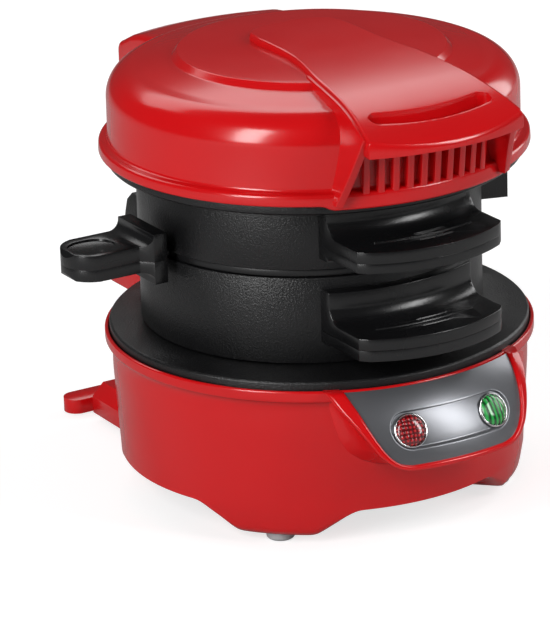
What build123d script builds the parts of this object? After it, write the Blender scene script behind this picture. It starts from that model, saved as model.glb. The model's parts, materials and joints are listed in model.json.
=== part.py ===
"""Breakfast sandwich maker: base, two cooking rings, swing-out egg plate and lid on one hinge.

Millimetres. Origin on the table, midway between the four feet. +Z up, the front faces -Y,
+X is the right-hand side seen from the front.
"""
from build123d import *
import os
from math import cos, radians, sin, sqrt

os.makedirs("parts", exist_ok=True)

# ---- Driving dimensions ----
ring_r = 52.2             # outside radius of both cooking rings
ring_wall = 2.4
plate_y = 4.0             # the cooking stack stands this far behind the body's centre
lower_ring_h = 26.4
upper_ring_h = 20.8
egg_plate_t = 2.0
stack_gap = 0.3           # free gap between pieces that lift apart

base_top = 50.4           # top of the base's rim above the table
foot_h = 3.0
foot_d = 8.6
foot_inset = 7.7          # foot centres in from the wall's lower edge
wall_bottom = 11.0        # lower edge of the base wall between the legs
shell_t = 2.2             # wall of the red mouldings
flange_t = 5.4
rim_proud = 1.5           # base rim beyond the black flange
boss_proud = 2.7          # heating plate above the flange

lid_h = 36.7              # liner lip to the crown of the strap
lid_inset = 2.0           # lid wall inside the base's flange
lid_bead_proud = 3.0

hinge_back = 18.5         # hinge axis behind the base's rim
hinge_drop = 0.4          # hinge axis below the rim's top
knuckle_r = 7.0
pin_d = 4.0
pin_fit = 0.08            # radial running clearance on the hinge pin
pin_press = 0.05          # radial clearance where a pin is held
cheek_gap = 0.4           # side clearance between hinge leaves
lid_arm_half = 6.0
upper_arm_t = 5.6
lower_knuckle_t = 8.6
cheek_t = 5.0

screw_d = 3.0
screw_head_d = 5.6
screw_head_h = 2.0
screw_fit = 0.05
seat_fit = 0.1            # clearance of pieces seated in one another

# ---- Heights and radii that follow ----
flange_r = ring_r + 11.8
flange_fit = 0.3
rim_inner = flange_r + flange_fit
rim_r = flange_r + rim_proud
wall_r = rim_r - 2.1
wall_r_low = wall_r - 1.4
foot_spacing = 2 * (wall_r_low - foot_inset) * cos(radians(45))
flange_z = base_top - 2.9
flange_top = flange_z + flange_t
lid_wall_r = flange_r - lid_inset
plate_boss_r = ring_r - ring_wall - 1.2
plate_hole_r = plate_boss_r + 1.7
plate_disc_r = plate_boss_r + 4.4
plate_disc_t = 3.3
boss_top = flange_top + boss_proud

lower_ring_z = flange_top + stack_gap
lower_ring_top = lower_ring_z + lower_ring_h
egg_z = lower_ring_top + stack_gap
egg_top = egg_z + egg_plate_t
upper_ring_z = egg_top + stack_gap
upper_ring_top = upper_ring_z + upper_ring_h
lid_z = upper_ring_top + stack_gap
lid_top = lid_z + lid_h

hinge_y = rim_r + hinge_back
hinge_z = base_top - hinge_drop
pin_r = pin_d / 2
ring_rear = plate_y + ring_r

upper_arm_in = lid_arm_half + cheek_gap
upper_arm_out = upper_arm_in + upper_arm_t
lower_knuckle_in = upper_arm_out + cheek_gap
lower_knuckle_out = lower_knuckle_in + lower_knuckle_t
cheek_in = lower_knuckle_out + cheek_gap
cheek_out = cheek_in + cheek_t

STAND = (Align.CENTER, Align.CENTER, Align.MIN)
HANG = (Align.CENTER, Align.CENTER, Align.MAX)
QUARTERS = (45, 135, 225, 315)
SIDE_VIEW = Plane.YZ      # local x is Y, local y is Z, extrusion runs along +X


def post(radius, low, high, x=0.0, y=0.0, mode=Mode.ADD):
    """Upright cylinder from one height to another."""
    with Locations((x, y, low)):
        Cylinder(radius, high - low, align=STAND, mode=mode)


def block(x, y, z, mode=Mode.ADD):
    """Box between pairs of limits."""
    with Locations((sum(x) / 2, sum(y) / 2, sum(z) / 2)):
        Box(x[1] - x[0], y[1] - y[0], z[1] - z[0], mode=mode)


def lathe(points, y=0.0, mode=Mode.ADD):
    """Solid turned from straight-sided (radius, height) points about the upright axis at y."""
    with BuildSketch(Plane((0, y, 0), x_dir=(1, 0, 0), z_dir=(0, -1, 0))) as profile:
        with BuildLine():
            Polyline(*points, close=True)
        make_face()
    revolve(profile.sketch, axis=Axis((0, y, 0), (0, 0, 1)), mode=mode)


def side_plate(points, x_low, x_high, mode=Mode.ADD):
    """Plate with an outline of (Y, Z) points, standing between two X positions."""
    with BuildSketch(SIDE_VIEW.offset(x_low)) as outline:
        with BuildLine():
            Polyline(*points, close=True)
        make_face()
    extrude(outline.sketch, amount=x_high - x_low, mode=mode)


def cross_rod(radius, x_low, x_high, y, z, mode=Mode.ADD):
    """Cylinder along X."""
    with BuildSketch(SIDE_VIEW.offset(x_low)) as end:
        with Locations((y, z)):
            Circle(radius)
    extrude(end.sketch, amount=x_high - x_low, mode=mode)


def screw(x, y, seat_z, length, up=1):
    """Pan-head screw: head on the seat, shank pointing up (1) or down (-1)."""
    shank = STAND if up > 0 else HANG
    head = HANG if up > 0 else STAND
    with Locations((x, y, seat_z)):
        Cylinder(screw_d / 2, length, align=shank)
        Cylinder(screw_head_d / 2, screw_head_h, align=head)


def polar(radius, angle):
    """Plan point at a radius and an angle from +X, in degrees."""
    return radius * cos(radians(angle)), radius * sin(radians(angle))


# ---- Base: legs and wall ----
leg_inner_r = wall_r_low - 23.6
leg_half_top = 24.2
leg_half_low = 12.4
leg_top = wall_bottom + 1.0
leg_post_r = foot_d / 2
leg_post_at = foot_spacing / 2 - 7.9       # plan distance of the long posts on both axes
leg_screw_seat = 34.0
leg_foot_r = wall_r_low - 1.4

with BuildPart() as leg:
    lathe([
        (leg_inner_r, foot_h), (leg_foot_r - 1, foot_h), (leg_foot_r, foot_h + 1),
        (wall_r_low, wall_bottom), (wall_r_low, leg_top), (leg_inner_r, leg_top),
    ])
    with BuildSketch(Plane.YZ) as leg_front:
        with BuildLine():
            Polyline(
                (-leg_half_low, foot_h), (leg_half_low, foot_h), (leg_half_top, wall_bottom),
                (leg_half_top, leg_top), (-leg_half_top, leg_top), (-leg_half_top, wall_bottom),
                close=True,
            )
        make_face()
    extrude(amount=wall_r, mode=Mode.INTERSECT)

with BuildPart() as leg_hollow:
    floor_z = foot_h + shell_t
    lathe([
        (leg_inner_r + shell_t, floor_z), (leg_foot_r - shell_t, floor_z),
        (wall_r_low - shell_t, wall_bottom), (wall_r_low - shell_t, leg_top + 1),
        (leg_inner_r + shell_t, leg_top + 1),
    ])
    with BuildSketch(Plane.YZ) as hollow_front:
        with BuildLine():
            Polyline(
                (shell_t - leg_half_low, floor_z), (leg_half_low - shell_t, floor_z),
                (leg_half_top - shell_t - 1, wall_bottom), (leg_half_top - shell_t - 1, leg_top + 1),
                (shell_t + 1 - leg_half_top, leg_top + 1), (shell_t + 1 - leg_half_top, wall_bottom),
                close=True,
            )
        make_face()
    extrude(amount=wall_r, mode=Mode.INTERSECT)

# ---- Front hood and its panel ----
panel_bulge = 31.57       # radius of the panel's upright curve
panel_centre_r = wall_r - 15.6
panel_centre_z = base_top - 25.8
panel_t = 2.2
lip_proud = 1.0
hood_taper = -8
hood_far = wall_r + 17.0
hood_outline = [
    (30.6, base_top), (29.7, base_top - 3.5), (28.3, base_top - 6.8), (26.4, base_top - 11.9),
    (24.5, base_top - 16.0), (21.5, base_top - 19.6), (18.0, base_top - 21.0), (14.0, base_top - 21.5),
]
panel_outline = [
    (28.7, base_top + 1), (28.0, base_top - 2.5), (27.3, base_top - 5.0), (26.4, base_top - 8.5),
    (25.3, base_top - 11.6), (24.0, base_top - 14.4), (22.3, base_top - 17.0), (19.8, base_top - 19.2),
    (16.0, base_top - 20.0),
]


def front_prism(outline, depth, taper=0.0, inset=0.0, start=hood_far, mode=Mode.ADD):
    """Mirror-symmetric outline of (X, Z) points carried back from the front along +Y."""
    right = [(x - inset, z + inset) for x, z in outline]
    with BuildSketch(Plane((0, -start, 0), x_dir=(1, 0, 0), z_dir=(0, -1, 0))) as face:
        with BuildLine():
            Polyline(*right, *[(-x, z) for x, z in reversed(right)], close=True)
        make_face()
    extrude(face.sketch, amount=-depth, taper=taper, mode=mode)


def bulge_solid(radius, low, high, mode=Mode.ADD):
    """Turned solid inside the panel's upright curve, or inside a curve parallel to it."""
    def at(z):
        return panel_centre_r + sqrt(radius ** 2 - (z - panel_centre_z) ** 2)
    with BuildSketch(Plane.XZ) as half:
        with BuildLine():
            middle = (low + high) / 2
            front = ThreePointArc((at(low), low), (at(middle), middle), (at(high), high))
            Polyline(front @ 1, (0, high), (0, low), front @ 0)
        make_face()
    revolve(half.sketch, axis=Axis.Z, mode=mode)


hood_low = base_top - 24.0
with BuildPart() as hood:
    bulge_solid(panel_bulge + lip_proud, hood_low, base_top)
    front_prism(hood_outline, depth=26, taper=hood_taper, mode=Mode.INTERSECT)

with BuildPart() as panel_seat:
    bulge_solid(panel_bulge + 4, base_top - 21, base_top + 0.5)
    bulge_solid(panel_bulge - panel_t - seat_fit, base_top - 22, base_top + 1, mode=Mode.SUBTRACT)
    front_prism(panel_outline, depth=30, inset=-seat_fit, mode=Mode.INTERSECT)

# ---- Indicator places ----
lens_x = 14.4
lens_z = base_top - 10.5
lens_r = 4.5
lens_hole_r = lens_r + seat_fit
recess_depth = 0.8
recess_half = 20.0
recess_half_h = lens_r + 1.1
lens_slope = 29.0         # the panel leans back this much at the lenses


def lens_plane(x, out=0.0):
    """Plane on the panel's surface at a lens, its normal pointing out of the panel."""
    rise = lens_z - panel_centre_z
    reach = panel_centre_r + sqrt(panel_bulge ** 2 - rise ** 2)
    y = -sqrt(reach ** 2 - x ** 2)
    tilt = radians(lens_slope)
    normal = Vector(x / reach * cos(tilt), y / reach * cos(tilt), sin(tilt))
    return Plane(Vector(x, y, lens_z) + normal * out, x_dir=(-y, x, 0), z_dir=normal)


window = Plane(lens_plane(0).origin, x_dir=(1, 0, 0), z_dir=lens_plane(0).z_dir)

# ---- Base shell ----
cover_boss_r = 3.5
cover_screw_at = wall_r_low - 8.0
cover_boss_top = 22.0
cover_t = 2.0
cover_angles = (0, 180, 270)
stabiliser_screw_x = 10.0
stabiliser_screw_y = wall_r_low - 10.0
gland_z = 27.0
gland_hole_r = 5.0

with BuildPart() as base_shell:
    lathe([
        (wall_r_low - shell_t, wall_bottom), (wall_r_low, wall_bottom), (wall_r, base_top - 12.4),
        (wall_r, base_top - 3.8), (rim_r - 0.4, base_top - 3.3), (rim_r, base_top - 2.8),
        (rim_r, base_top - 0.7), (rim_r - 0.5, base_top), (rim_inner, base_top), (rim_inner, flange_z),
        (rim_inner - 4, flange_z), (rim_inner - 4, flange_z - 2), (wall_r - shell_t, flange_z - 4),
        (wall_r - shell_t, base_top - 12.4),
    ])
    with PolarLocations(0, 4, start_angle=45):
        add(leg.part)
        add(leg_hollow.part, mode=Mode.SUBTRACT)
    add(hood.part)
    lathe([                                              # hollow behind the hood's root
        (0, wall_bottom), (wall_r_low - shell_t, wall_bottom), (wall_r - shell_t, base_top - 12.4),
        (wall_r - shell_t, flange_z - 4), (rim_inner - 4, flange_z - 2), (rim_inner - 4, flange_z),
        (rim_inner, flange_z), (rim_inner, base_top + 1), (0, base_top + 1),
    ], mode=Mode.SUBTRACT)
    add(panel_seat.part, mode=Mode.SUBTRACT)
    with BuildSketch(window) as lamp_window:
        with Locations((0, 0.85)):
            Rectangle(2 * recess_half - 1, 2 * lens_r + 0.3)
    extrude(amount=-26, mode=Mode.SUBTRACT)
    for angle in QUARTERS:                               # long posts under the heating plate
        sx, sy = (1 if cos(radians(angle)) > 0 else -1), (1 if sin(radians(angle)) > 0 else -1)
        px, py = sx * leg_post_at, sy * leg_post_at
        post(leg_post_r, foot_h + shell_t - 0.1, flange_z - plate_disc_t, px, py)
        post(screw_head_d / 2 + 0.3, foot_h - 1, leg_screw_seat, px, py, mode=Mode.SUBTRACT)
        post(screw_d / 2 + screw_fit, foot_h - 1, flange_z, px, py, mode=Mode.SUBTRACT)
        foot_at = foot_spacing / 2
        post(2.0, foot_h - 1, foot_h + shell_t + 1, sx * foot_at, sy * foot_at, mode=Mode.SUBTRACT)
    for angle in cover_angles:
        bx, by = polar(cover_screw_at, angle)
        post(cover_boss_r, wall_bottom + cover_t, cover_boss_top, bx, by)
        with Locations(Location((0, 0, wall_bottom + cover_t), (0, 0, angle))):
            with Locations((cover_screw_at, 0, 0)):
                Box(wall_r_low - shell_t + 0.8 - cover_screw_at, 3, cover_boss_top - wall_bottom - cover_t,
                    align=(Align.MIN, Align.CENTER, Align.MIN))
        post(screw_d / 2 + screw_fit, wall_bottom, cover_boss_top - 1, bx, by, mode=Mode.SUBTRACT)
    for side in (-1, 1):
        sx = side * stabiliser_screw_x
        post(cover_boss_r, wall_bottom + cover_t, cover_boss_top, sx, stabiliser_screw_y)
        block((sx - 1.5, sx + 1.5), (stabiliser_screw_y, wall_r_low - 1.9),
              (wall_bottom + cover_t, cover_boss_top))
        post(screw_d / 2 + screw_fit, wall_bottom, cover_boss_top - 1, sx, stabiliser_screw_y,
             mode=Mode.SUBTRACT)
        side_plate([
            (wall_r - 6.0, hinge_z - knuckle_r), (hinge_y, hinge_z - knuckle_r),
            (hinge_y, hinge_z + knuckle_r), (rim_r + 1.5, hinge_z + knuckle_r),
            (rim_r - 3.0, base_top), (rim_r - 3.0, flange_z - 0.6), (wall_r - 6.0, flange_z - 0.6),
        ], min(side * cheek_in, side * cheek_out), max(side * cheek_in, side * cheek_out))
        cross_rod(knuckle_r, min(side * cheek_in, side * cheek_out), max(side * cheek_in, side * cheek_out),
                  hinge_y, hinge_z)
    cross_rod(pin_r + pin_press, -cheek_out - 1, cheek_out + 1, hinge_y, hinge_z, mode=Mode.SUBTRACT)
    with BuildSketch(Plane((0, 0, gland_z), x_dir=(1, 0, 0), z_dir=(0, 1, 0))) as gland_hole:
        Circle(gland_hole_r)
    extrude(amount=wall_r + 2, mode=Mode.SUBTRACT)
base_shell.part.label = "base_shell"
export_step(base_shell.part, "parts/base_shell.step")

# ---- Bottom cover and its screws ----
cover_r = wall_r_low - shell_t - 0.3
with BuildPart() as bottom_cover:
    post(cover_r, wall_bottom, wall_bottom + cover_t)
    for angle in QUARTERS:
        with Locations(Location((0, 0, wall_bottom), (0, 0, angle))):
            with Locations((leg_inner_r - 0.4, 0, 0)):
                Box(40, 2 * leg_half_top + 0.8, 3 * cover_t,
                    align=(Align.MIN, Align.CENTER, Align.CENTER), mode=Mode.SUBTRACT)
    for angle in cover_angles:
        post(screw_d / 2 + 0.2, wall_bottom - 1, wall_bottom + 3, *polar(cover_screw_at, angle),
             mode=Mode.SUBTRACT)
    for side in (-1, 1):
        post(screw_d / 2 + 0.2, wall_bottom - 1, wall_bottom + 3, side * stabiliser_screw_x,
             stabiliser_screw_y, mode=Mode.SUBTRACT)
    with BuildSketch(Plane.XY.offset(wall_bottom)) as vents:
        with GridLocations(9, 30, 4, 1):
            SlotOverall(24, 3, rotation=90)
    extrude(amount=cover_t, mode=Mode.SUBTRACT)
bottom_cover.part.label = "bottom_cover"
export_step(bottom_cover.part, "parts/bottom_cover.step")

with BuildPart() as cover_screws:
    for angle in cover_angles:
        screw(*polar(cover_screw_at, angle), wall_bottom, 9)
cover_screws.part.label = "cover_screws"
export_step(cover_screws.part, "parts/cover_screws.step")

# ---- Feet ----
with BuildPart() as rubber_feet:
    with GridLocations(foot_spacing, foot_spacing, 2, 2):
        Cylinder(foot_d / 2, foot_h, align=STAND)
    chamfer(rubber_feet.edges().group_by(Axis.Z)[0], 0.6)
    with GridLocations(foot_spacing, foot_spacing, 2, 2):
        with Locations((0, 0, foot_h)):
            Cylinder(1.9, shell_t + 0.6, align=STAND)
rubber_feet.part.label = "rubber_feet"
export_step(rubber_feet.part, "parts/rubber_feet.step")

# ---- Rear stabiliser ----
shoe_half = 42.7
shoe_y = (hinge_y + 1, hinge_y + 9.5)
shoe_lift = 0.3
shoe_top = 5.0
arch_half = 38.0
arch_top = 12.0
with BuildPart() as rear_stabiliser:
    with BuildSketch(Plane.XY.offset(shoe_lift)) as shoe:
        with Locations((0, sum(shoe_y) / 2)):
            SlotOverall(2 * shoe_half, shoe_y[1] - shoe_y[0])
    extrude(amount=shoe_top - shoe_lift)
    block((-30, 30), (hinge_y - 10, sum(shoe_y) / 2), (2.4, shoe_top))
    with BuildSketch(Plane.XZ.offset(-(hinge_y - 5))) as arch:
        with BuildLine():
            Polyline((-arch_half, 2.4), (arch_half, 2.4), (arch_half, 8), (arch_half - 4, arch_top),
                     (4 - arch_half, arch_top), (-arch_half, 8), close=True)
        make_face()
    extrude(amount=31)
    post(wall_r_low + 0.4, 0, arch_top + 1, mode=Mode.SUBTRACT)
    block((-14, 14), (stabiliser_screw_y - 3.4, wall_r_low + 3), (wall_bottom - 3.2, wall_bottom))
    for side in (-1, 1):
        post(screw_d / 2 + 0.2, 0, wall_bottom + 1, side * stabiliser_screw_x, stabiliser_screw_y,
             mode=Mode.SUBTRACT)
rear_stabiliser.part.label = "rear_stabiliser"
export_step(rear_stabiliser.part, "parts/rear_stabiliser.step")

with BuildPart() as stabiliser_screws:
    for side in (-1, 1):
        screw(side * stabiliser_screw_x, stabiliser_screw_y, wall_bottom - 3.2, 12.5)
stabiliser_screws.part.label = "stabiliser_screws"
export_step(stabiliser_screws.part, "parts/stabiliser_screws.step")

# ---- Control panel, lenses and lamps ----
with BuildPart() as panel_recess:
    with BuildSketch(window.offset(-8)) as recess:
        SlotOverall(2 * recess_half, 2 * recess_half_h)
    extrude(amount=16)
    bulge_solid(panel_bulge - recess_depth, base_top - 23, base_top + 1, mode=Mode.SUBTRACT)

with BuildPart() as control_panel:
    bulge_solid(panel_bulge, base_top - 20.6, base_top - 0.4)
    bulge_solid(panel_bulge - panel_t, base_top - 22, base_top + 1, mode=Mode.SUBTRACT)
    front_prism(panel_outline, depth=30, mode=Mode.INTERSECT)
    post(rim_inner, flange_z - 0.4, base_top + 2, mode=Mode.SUBTRACT)
    add(panel_recess.part, mode=Mode.SUBTRACT)
    for side in (-1, 1):
        with BuildSketch(lens_plane(side * lens_x)) as lens_hole:
            Circle(lens_hole_r)
        extrude(amount=6, both=True, mode=Mode.SUBTRACT)
control_panel.part.label = "control_panel"
export_step(control_panel.part, "parts/control_panel.step")


def indicator_lens(x):
    """Domed lens standing in its panel hole."""
    with BuildSketch(lens_plane(x, -panel_t)) as body:
        Circle(lens_r)
    extrude(body.sketch, amount=panel_t - 0.3)
    with BuildSketch(lens_plane(x, -0.3)) as dome:
        Circle(lens_r)
    extrude(dome.sketch, amount=1.2, taper=40)


def indicator_lamp(x):
    """Neon capsule in its holder behind a lens."""
    with BuildSketch(lens_plane(x, -panel_t - 0.2)) as capsule:
        Circle(2.4)
    extrude(capsule.sketch, amount=-6.0)
    with BuildSketch(lens_plane(x, -panel_t - 6.2)) as holder:
        Circle(2.8)
    extrude(holder.sketch, amount=-3.0)


with BuildPart() as power_lens:
    indicator_lens(-lens_x)
power_lens.part.label = "power_lens"
export_step(power_lens.part, "parts/power_lens.step")

with BuildPart() as ready_lens:
    indicator_lens(lens_x)
ready_lens.part.label = "ready_lens"
export_step(ready_lens.part, "parts/ready_lens.step")

with BuildPart() as power_lamp:
    indicator_lamp(-lens_x)
power_lamp.part.label = "power_lamp"
export_step(power_lamp.part, "parts/power_lamp.step")

with BuildPart() as ready_lamp:
    indicator_lamp(lens_x)
ready_lamp.part.label = "ready_lamp"
export_step(ready_lamp.part, "parts/ready_lamp.step")

with BuildPart() as lens_rings:
    for side in (-1, 1):
        with BuildSketch(lens_plane(side * lens_x, 0.45 - recess_depth)) as bezel_ring:
            Circle(lens_hole_r + 0.6)
            Circle(lens_hole_r, mode=Mode.SUBTRACT)
        extrude(amount=0.95)
lens_rings.part.label = "lens_rings"
export_step(lens_rings.part, "parts/lens_rings.step")

# ---- Flange, heating plate and what lies under it ----
with BuildPart() as base_flange:
    lathe([
        (0, flange_z), (flange_r - 0.3, flange_z), (flange_r, flange_z + 0.3),
        (flange_r, flange_top - 0.6), (flange_r - 0.6, flange_top), (0, flange_top),
    ])
    post(plate_hole_r, flange_z - 1, flange_top + 1, 0, plate_y, mode=Mode.SUBTRACT)
base_flange.part.label = "base_flange"
export_step(base_flange.part, "parts/base_flange.step")

with BuildPart() as lower_heating_plate:
    lathe([
        (0, flange_z - plate_disc_t), (plate_disc_r, flange_z - plate_disc_t), (plate_disc_r, flange_z),
        (plate_boss_r, flange_z), (plate_boss_r, boss_top - 1), (plate_boss_r - 1, boss_top),
        (plate_boss_r - 6, boss_top), (plate_boss_r - 7.5, boss_top - 0.8), (0, boss_top - 0.8),
    ], y=plate_y)
    for angle in QUARTERS:
        sx, sy = (1 if cos(radians(angle)) > 0 else -1), (1 if sin(radians(angle)) > 0 else -1)
        post(screw_d / 2 + screw_fit, flange_z - plate_disc_t - 1, flange_z + 2.4,
             sx * leg_post_at, sy * leg_post_at, mode=Mode.SUBTRACT)
lower_heating_plate.part.label = "lower_heating_plate"
export_step(lower_heating_plate.part, "parts/lower_heating_plate.step")

with BuildPart() as heating_plate_screws:
    with GridLocations(2 * leg_post_at, 2 * leg_post_at, 2, 2):
        with Locations((0, 0, leg_screw_seat)):
            Cylinder(screw_d / 2, flange_z + 2.0 - leg_screw_seat, align=STAND)
            Cylinder(screw_head_d / 2, screw_head_h, align=HANG)
heating_plate_screws.part.label = "heating_plate_screws"
export_step(heating_plate_screws.part, "parts/heating_plate_screws.step")

heater_r = 31.0
heater_tube_r = 3.25
heater_gap = 25.0         # half of the opening in the C-shaped element, degrees
thermostat_r = 8.0
thermostat_h = 9.0


def heater(z, tail):
    """C-shaped tube element with two terminals bent towards tail (+1 up, -1 down)."""
    start = polar(heater_r, 90 + heater_gap)
    end = polar(heater_r, 90 - heater_gap)
    with BuildLine() as path:
        ThreePointArc((start[0], start[1] + plate_y, z), (0, plate_y - heater_r, z),
                      (end[0], end[1] + plate_y, z))
    with BuildSketch(Plane(path.line @ 0, z_dir=path.line % 0)) as section:
        Circle(heater_tube_r)
    sweep(section.sketch, path=path.line)
    for x, y in (start, end):
        with Locations((x, y + plate_y, z)):
            Sphere(heater_tube_r)
        low, high = sorted((z, z + tail * 9))
        post(1.6, low, high, x, y + plate_y)


with BuildPart() as lower_heater:
    heater(flange_z - plate_disc_t - heater_tube_r - seat_fit, -1)
lower_heater.part.label = "lower_heater"
export_step(lower_heater.part, "parts/lower_heater.step")

with BuildPart() as lower_thermostat:
    plate_under = flange_z - plate_disc_t
    post(thermostat_r, plate_under - thermostat_h, plate_under, 0, plate_y)
    for side in (-1, 1):
        block((side * 5 - 0.4, side * 5 + 0.4), (plate_y - 2.5, plate_y + 2.5),
              (plate_under - thermostat_h - 6, plate_under - thermostat_h))
lower_thermostat.part.label = "lower_thermostat"
export_step(lower_thermostat.part, "parts/lower_thermostat.step")

with BuildPart() as thermal_fuse:
    block((-5, 5), (-16, -10), (plate_under - 1, plate_under))
    block((-1, 1), (-14, -12), (plate_under - 2, plate_under))
    cross_rod(2.0, -8, 8, -13, plate_under - 3.2)
thermal_fuse.part.label = "thermal_fuse"
export_step(thermal_fuse.part, "parts/thermal_fuse.step")

with BuildPart() as terminal_block:
    cover_top = wall_bottom + cover_t
    block((-13, 13), (27, 37), (cover_top, cover_top + 9))
    for pole in (-8, 0, 8):
        post(2.2, cover_top + 4, cover_top + 10, pole, 32, mode=Mode.SUBTRACT)
terminal_block.part.label = "terminal_block"
export_step(terminal_block.part, "parts/terminal_block.step")

wall_slope = (wall_r - wall_r_low) / (base_top - 12.4 - wall_bottom)
gland_out = wall_r_low + wall_slope * (gland_z - wall_bottom)
with BuildPart() as cord_grommet:
    with BuildSketch(Plane((0, gland_out - shell_t - 1.2, gland_z), x_dir=(1, 0, 0),
                           z_dir=(0, 1, 0))) as neck:
        Circle(gland_hole_r - seat_fit)
        Circle(3.0, mode=Mode.SUBTRACT)
    extrude(amount=shell_t + 2.4)
    with BuildSketch(Plane((0, gland_out + 0.8, gland_z), x_dir=(1, 0, 0), z_dir=(0, 1, 0))) as flare:
        Circle(gland_hole_r + 1.6)
        Circle(3.0, mode=Mode.SUBTRACT)
    extrude(amount=1.8)
cord_grommet.part.label = "cord_grommet"
export_step(cord_grommet.part, "parts/cord_grommet.step")

# ---- Hinge pin and clips ----
pin_half = cheek_out + 2.6
with BuildPart() as hinge_pin:
    cross_rod(pin_r, -pin_half, pin_half, hinge_y, hinge_z)
    chamfer(hinge_pin.edges().filter_by(GeomType.CIRCLE), 0.4)
hinge_pin.part.label = "hinge_pin"
export_step(hinge_pin.part, "parts/hinge_pin.step")

with BuildPart() as pin_clips:
    for side in (-1, 1):
        low, high = sorted((side * (cheek_out + 0.3), side * (cheek_out + 1.1)))
        cross_rod(3.6, low, high, hinge_y, hinge_z)
    cross_rod(pin_r + 0.03, -pin_half, pin_half, hinge_y, hinge_z, mode=Mode.SUBTRACT)
pin_clips.part.label = "pin_clips"
export_step(pin_clips.part, "parts/pin_clips.step")

# ---- Ring handles: a band hugging the ring and a grip plate, in two shells ----
block_r = ring_r + 4.5    # front of the band, about the ring's centre
grip_front = ring_r - plate_y + 23.8
grip_corner = ring_r - plate_y + 16.6
grip_half = 24.8
corner_clip = 2.2
handle_fit = 0.3
handle_fillet = 5.0
rib_proud = 0.4
tab_half = 14.0
tab_t = 2.0
tab_end = ring_r - plate_y + 13.0
handle_screw_x = 8.0
handle_screw_y = ring_r - plate_y + 8.0


def handle_plan():
    """Plan outline of a ring handle: straight flanks, clipped corners and a bowed front."""
    clip_x = grip_half - corner_clip
    clip_y = -grip_corner - 0.9
    with BuildLine() as outline:
        Polyline((-clip_x, clip_y), (-grip_half, 1.6 - grip_corner), (-grip_half, -30),
                 (grip_half, -30), (grip_half, 1.6 - grip_corner), (clip_x, clip_y))
        ThreePointArc((clip_x, clip_y), (0, -grip_front), (-clip_x, clip_y))
    make_face(outline.edges())


def handle_shell(plate_face, block_face, parting, fillet_r):
    """One half of a handle: a profile turned about the ring's axis and cut to plan."""
    turn = 1 if block_face > plate_face else -1
    inner = ring_r + handle_fit
    outer = grip_front + plate_y + 1
    bend = fillet_r * (1 - cos(radians(45)))
    with BuildSketch(Plane((0, plate_y, 0), x_dir=(1, 0, 0), z_dir=(0, -1, 0))) as profile:
        with BuildLine():
            Polyline((inner, parting), (inner, block_face), (block_r, block_face),
                     (block_r, plate_face + turn * fillet_r))
            ThreePointArc((block_r, plate_face + turn * fillet_r),
                          (block_r + bend, plate_face + turn * bend), (block_r + fillet_r, plate_face))
            Polyline((block_r + fillet_r, plate_face), (outer, plate_face), (outer, parting),
                     (inner, parting))
        make_face()
    revolve(profile.sketch, axis=Axis((0, plate_y, 0), (0, 0, 1)))
    low, high = sorted((parting, block_face))
    with BuildSketch(Plane.XY.offset(low - 5)) as plan:
        handle_plan()
    extrude(plan.sketch, amount=high - low + 10, mode=Mode.INTERSECT)


def curved_rib(radius, half_w, from_angle, to_angle, face):
    """Raised rib on a grip, concentric with the ring; angles are from the front towards +X."""
    ends = [polar(radius, 270 + a) for a in (from_angle, (from_angle + to_angle) / 2, to_angle)]
    path = [(x, y + plate_y) for x, y in ends]
    with BuildSketch(Plane.XY.offset(face - 0.2)) as rib:
        SlotArc(ThreePointArc(*path, mode=Mode.PRIVATE), 2 * half_w)
    extrude(rib.sketch, amount=rib_proud + 0.2)


def tab_room(tab_z, mode=Mode.SUBTRACT):
    """Pocket for the ring's steel tab inside the handle."""
    block((-tab_half - 0.1, tab_half + 0.1), (-tab_end - 0.2, -30), (tab_z - 0.05, tab_z + tab_t + 0.05),
          mode=mode)


def make_handle(block_low, block_high, plate_low, plate_high, parting):
    """Both shells and screws of a ring handle; returns the three parts."""
    tab_z = parting - tab_t / 2
    with BuildPart() as top:
        handle_shell(plate_high, block_high, parting, handle_fillet)
        curved_rib(ring_r + 13.4, 0.4, -14.4, 14.4, plate_high)
        curved_rib(ring_r + 10.8, 0.4, -2.0, 7.0, plate_high)
        curved_rib(ring_r + 16.1, 0.4, -3.0, 6.0, plate_high)
        tab_room(tab_z)
        for side in (-1, 1):
            post(screw_d / 2 + screw_fit, parting - 1, plate_high - 1.0, side * handle_screw_x,
                 -handle_screw_y, mode=Mode.SUBTRACT)
    with BuildPart() as base:
        handle_shell(plate_low, block_low, parting, 0.8 * (plate_low - block_low))
        tab_room(tab_z)
        for side in (-1, 1):
            post(screw_d / 2 + screw_fit, plate_low - 3, parting + 1, side * handle_screw_x,
                 -handle_screw_y, mode=Mode.SUBTRACT)
            post(screw_head_d / 2 + 0.2, plate_low - 3, plate_low + screw_head_h, side * handle_screw_x,
                 -handle_screw_y, mode=Mode.SUBTRACT)
    with BuildPart() as screws:
        for side in (-1, 1):
            screw(side * handle_screw_x, -handle_screw_y, plate_low + screw_head_h - 0.1,
                  plate_high - 1.3 - plate_low - screw_head_h)
    return top.part, base.part, screws.part


def ring_tab(parting, low, high):
    """Steel tab under a ring handle, with its two screw holes, fused to the ring's wall."""
    block((-tab_half, tab_half), (-tab_end, plate_y - ring_r + 2.5),
          (parting - tab_t / 2, parting + tab_t / 2))
    for side in (-1, 1):
        post(screw_d / 2 + 0.3, low, high, side * handle_screw_x, -handle_screw_y, mode=Mode.SUBTRACT)


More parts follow.
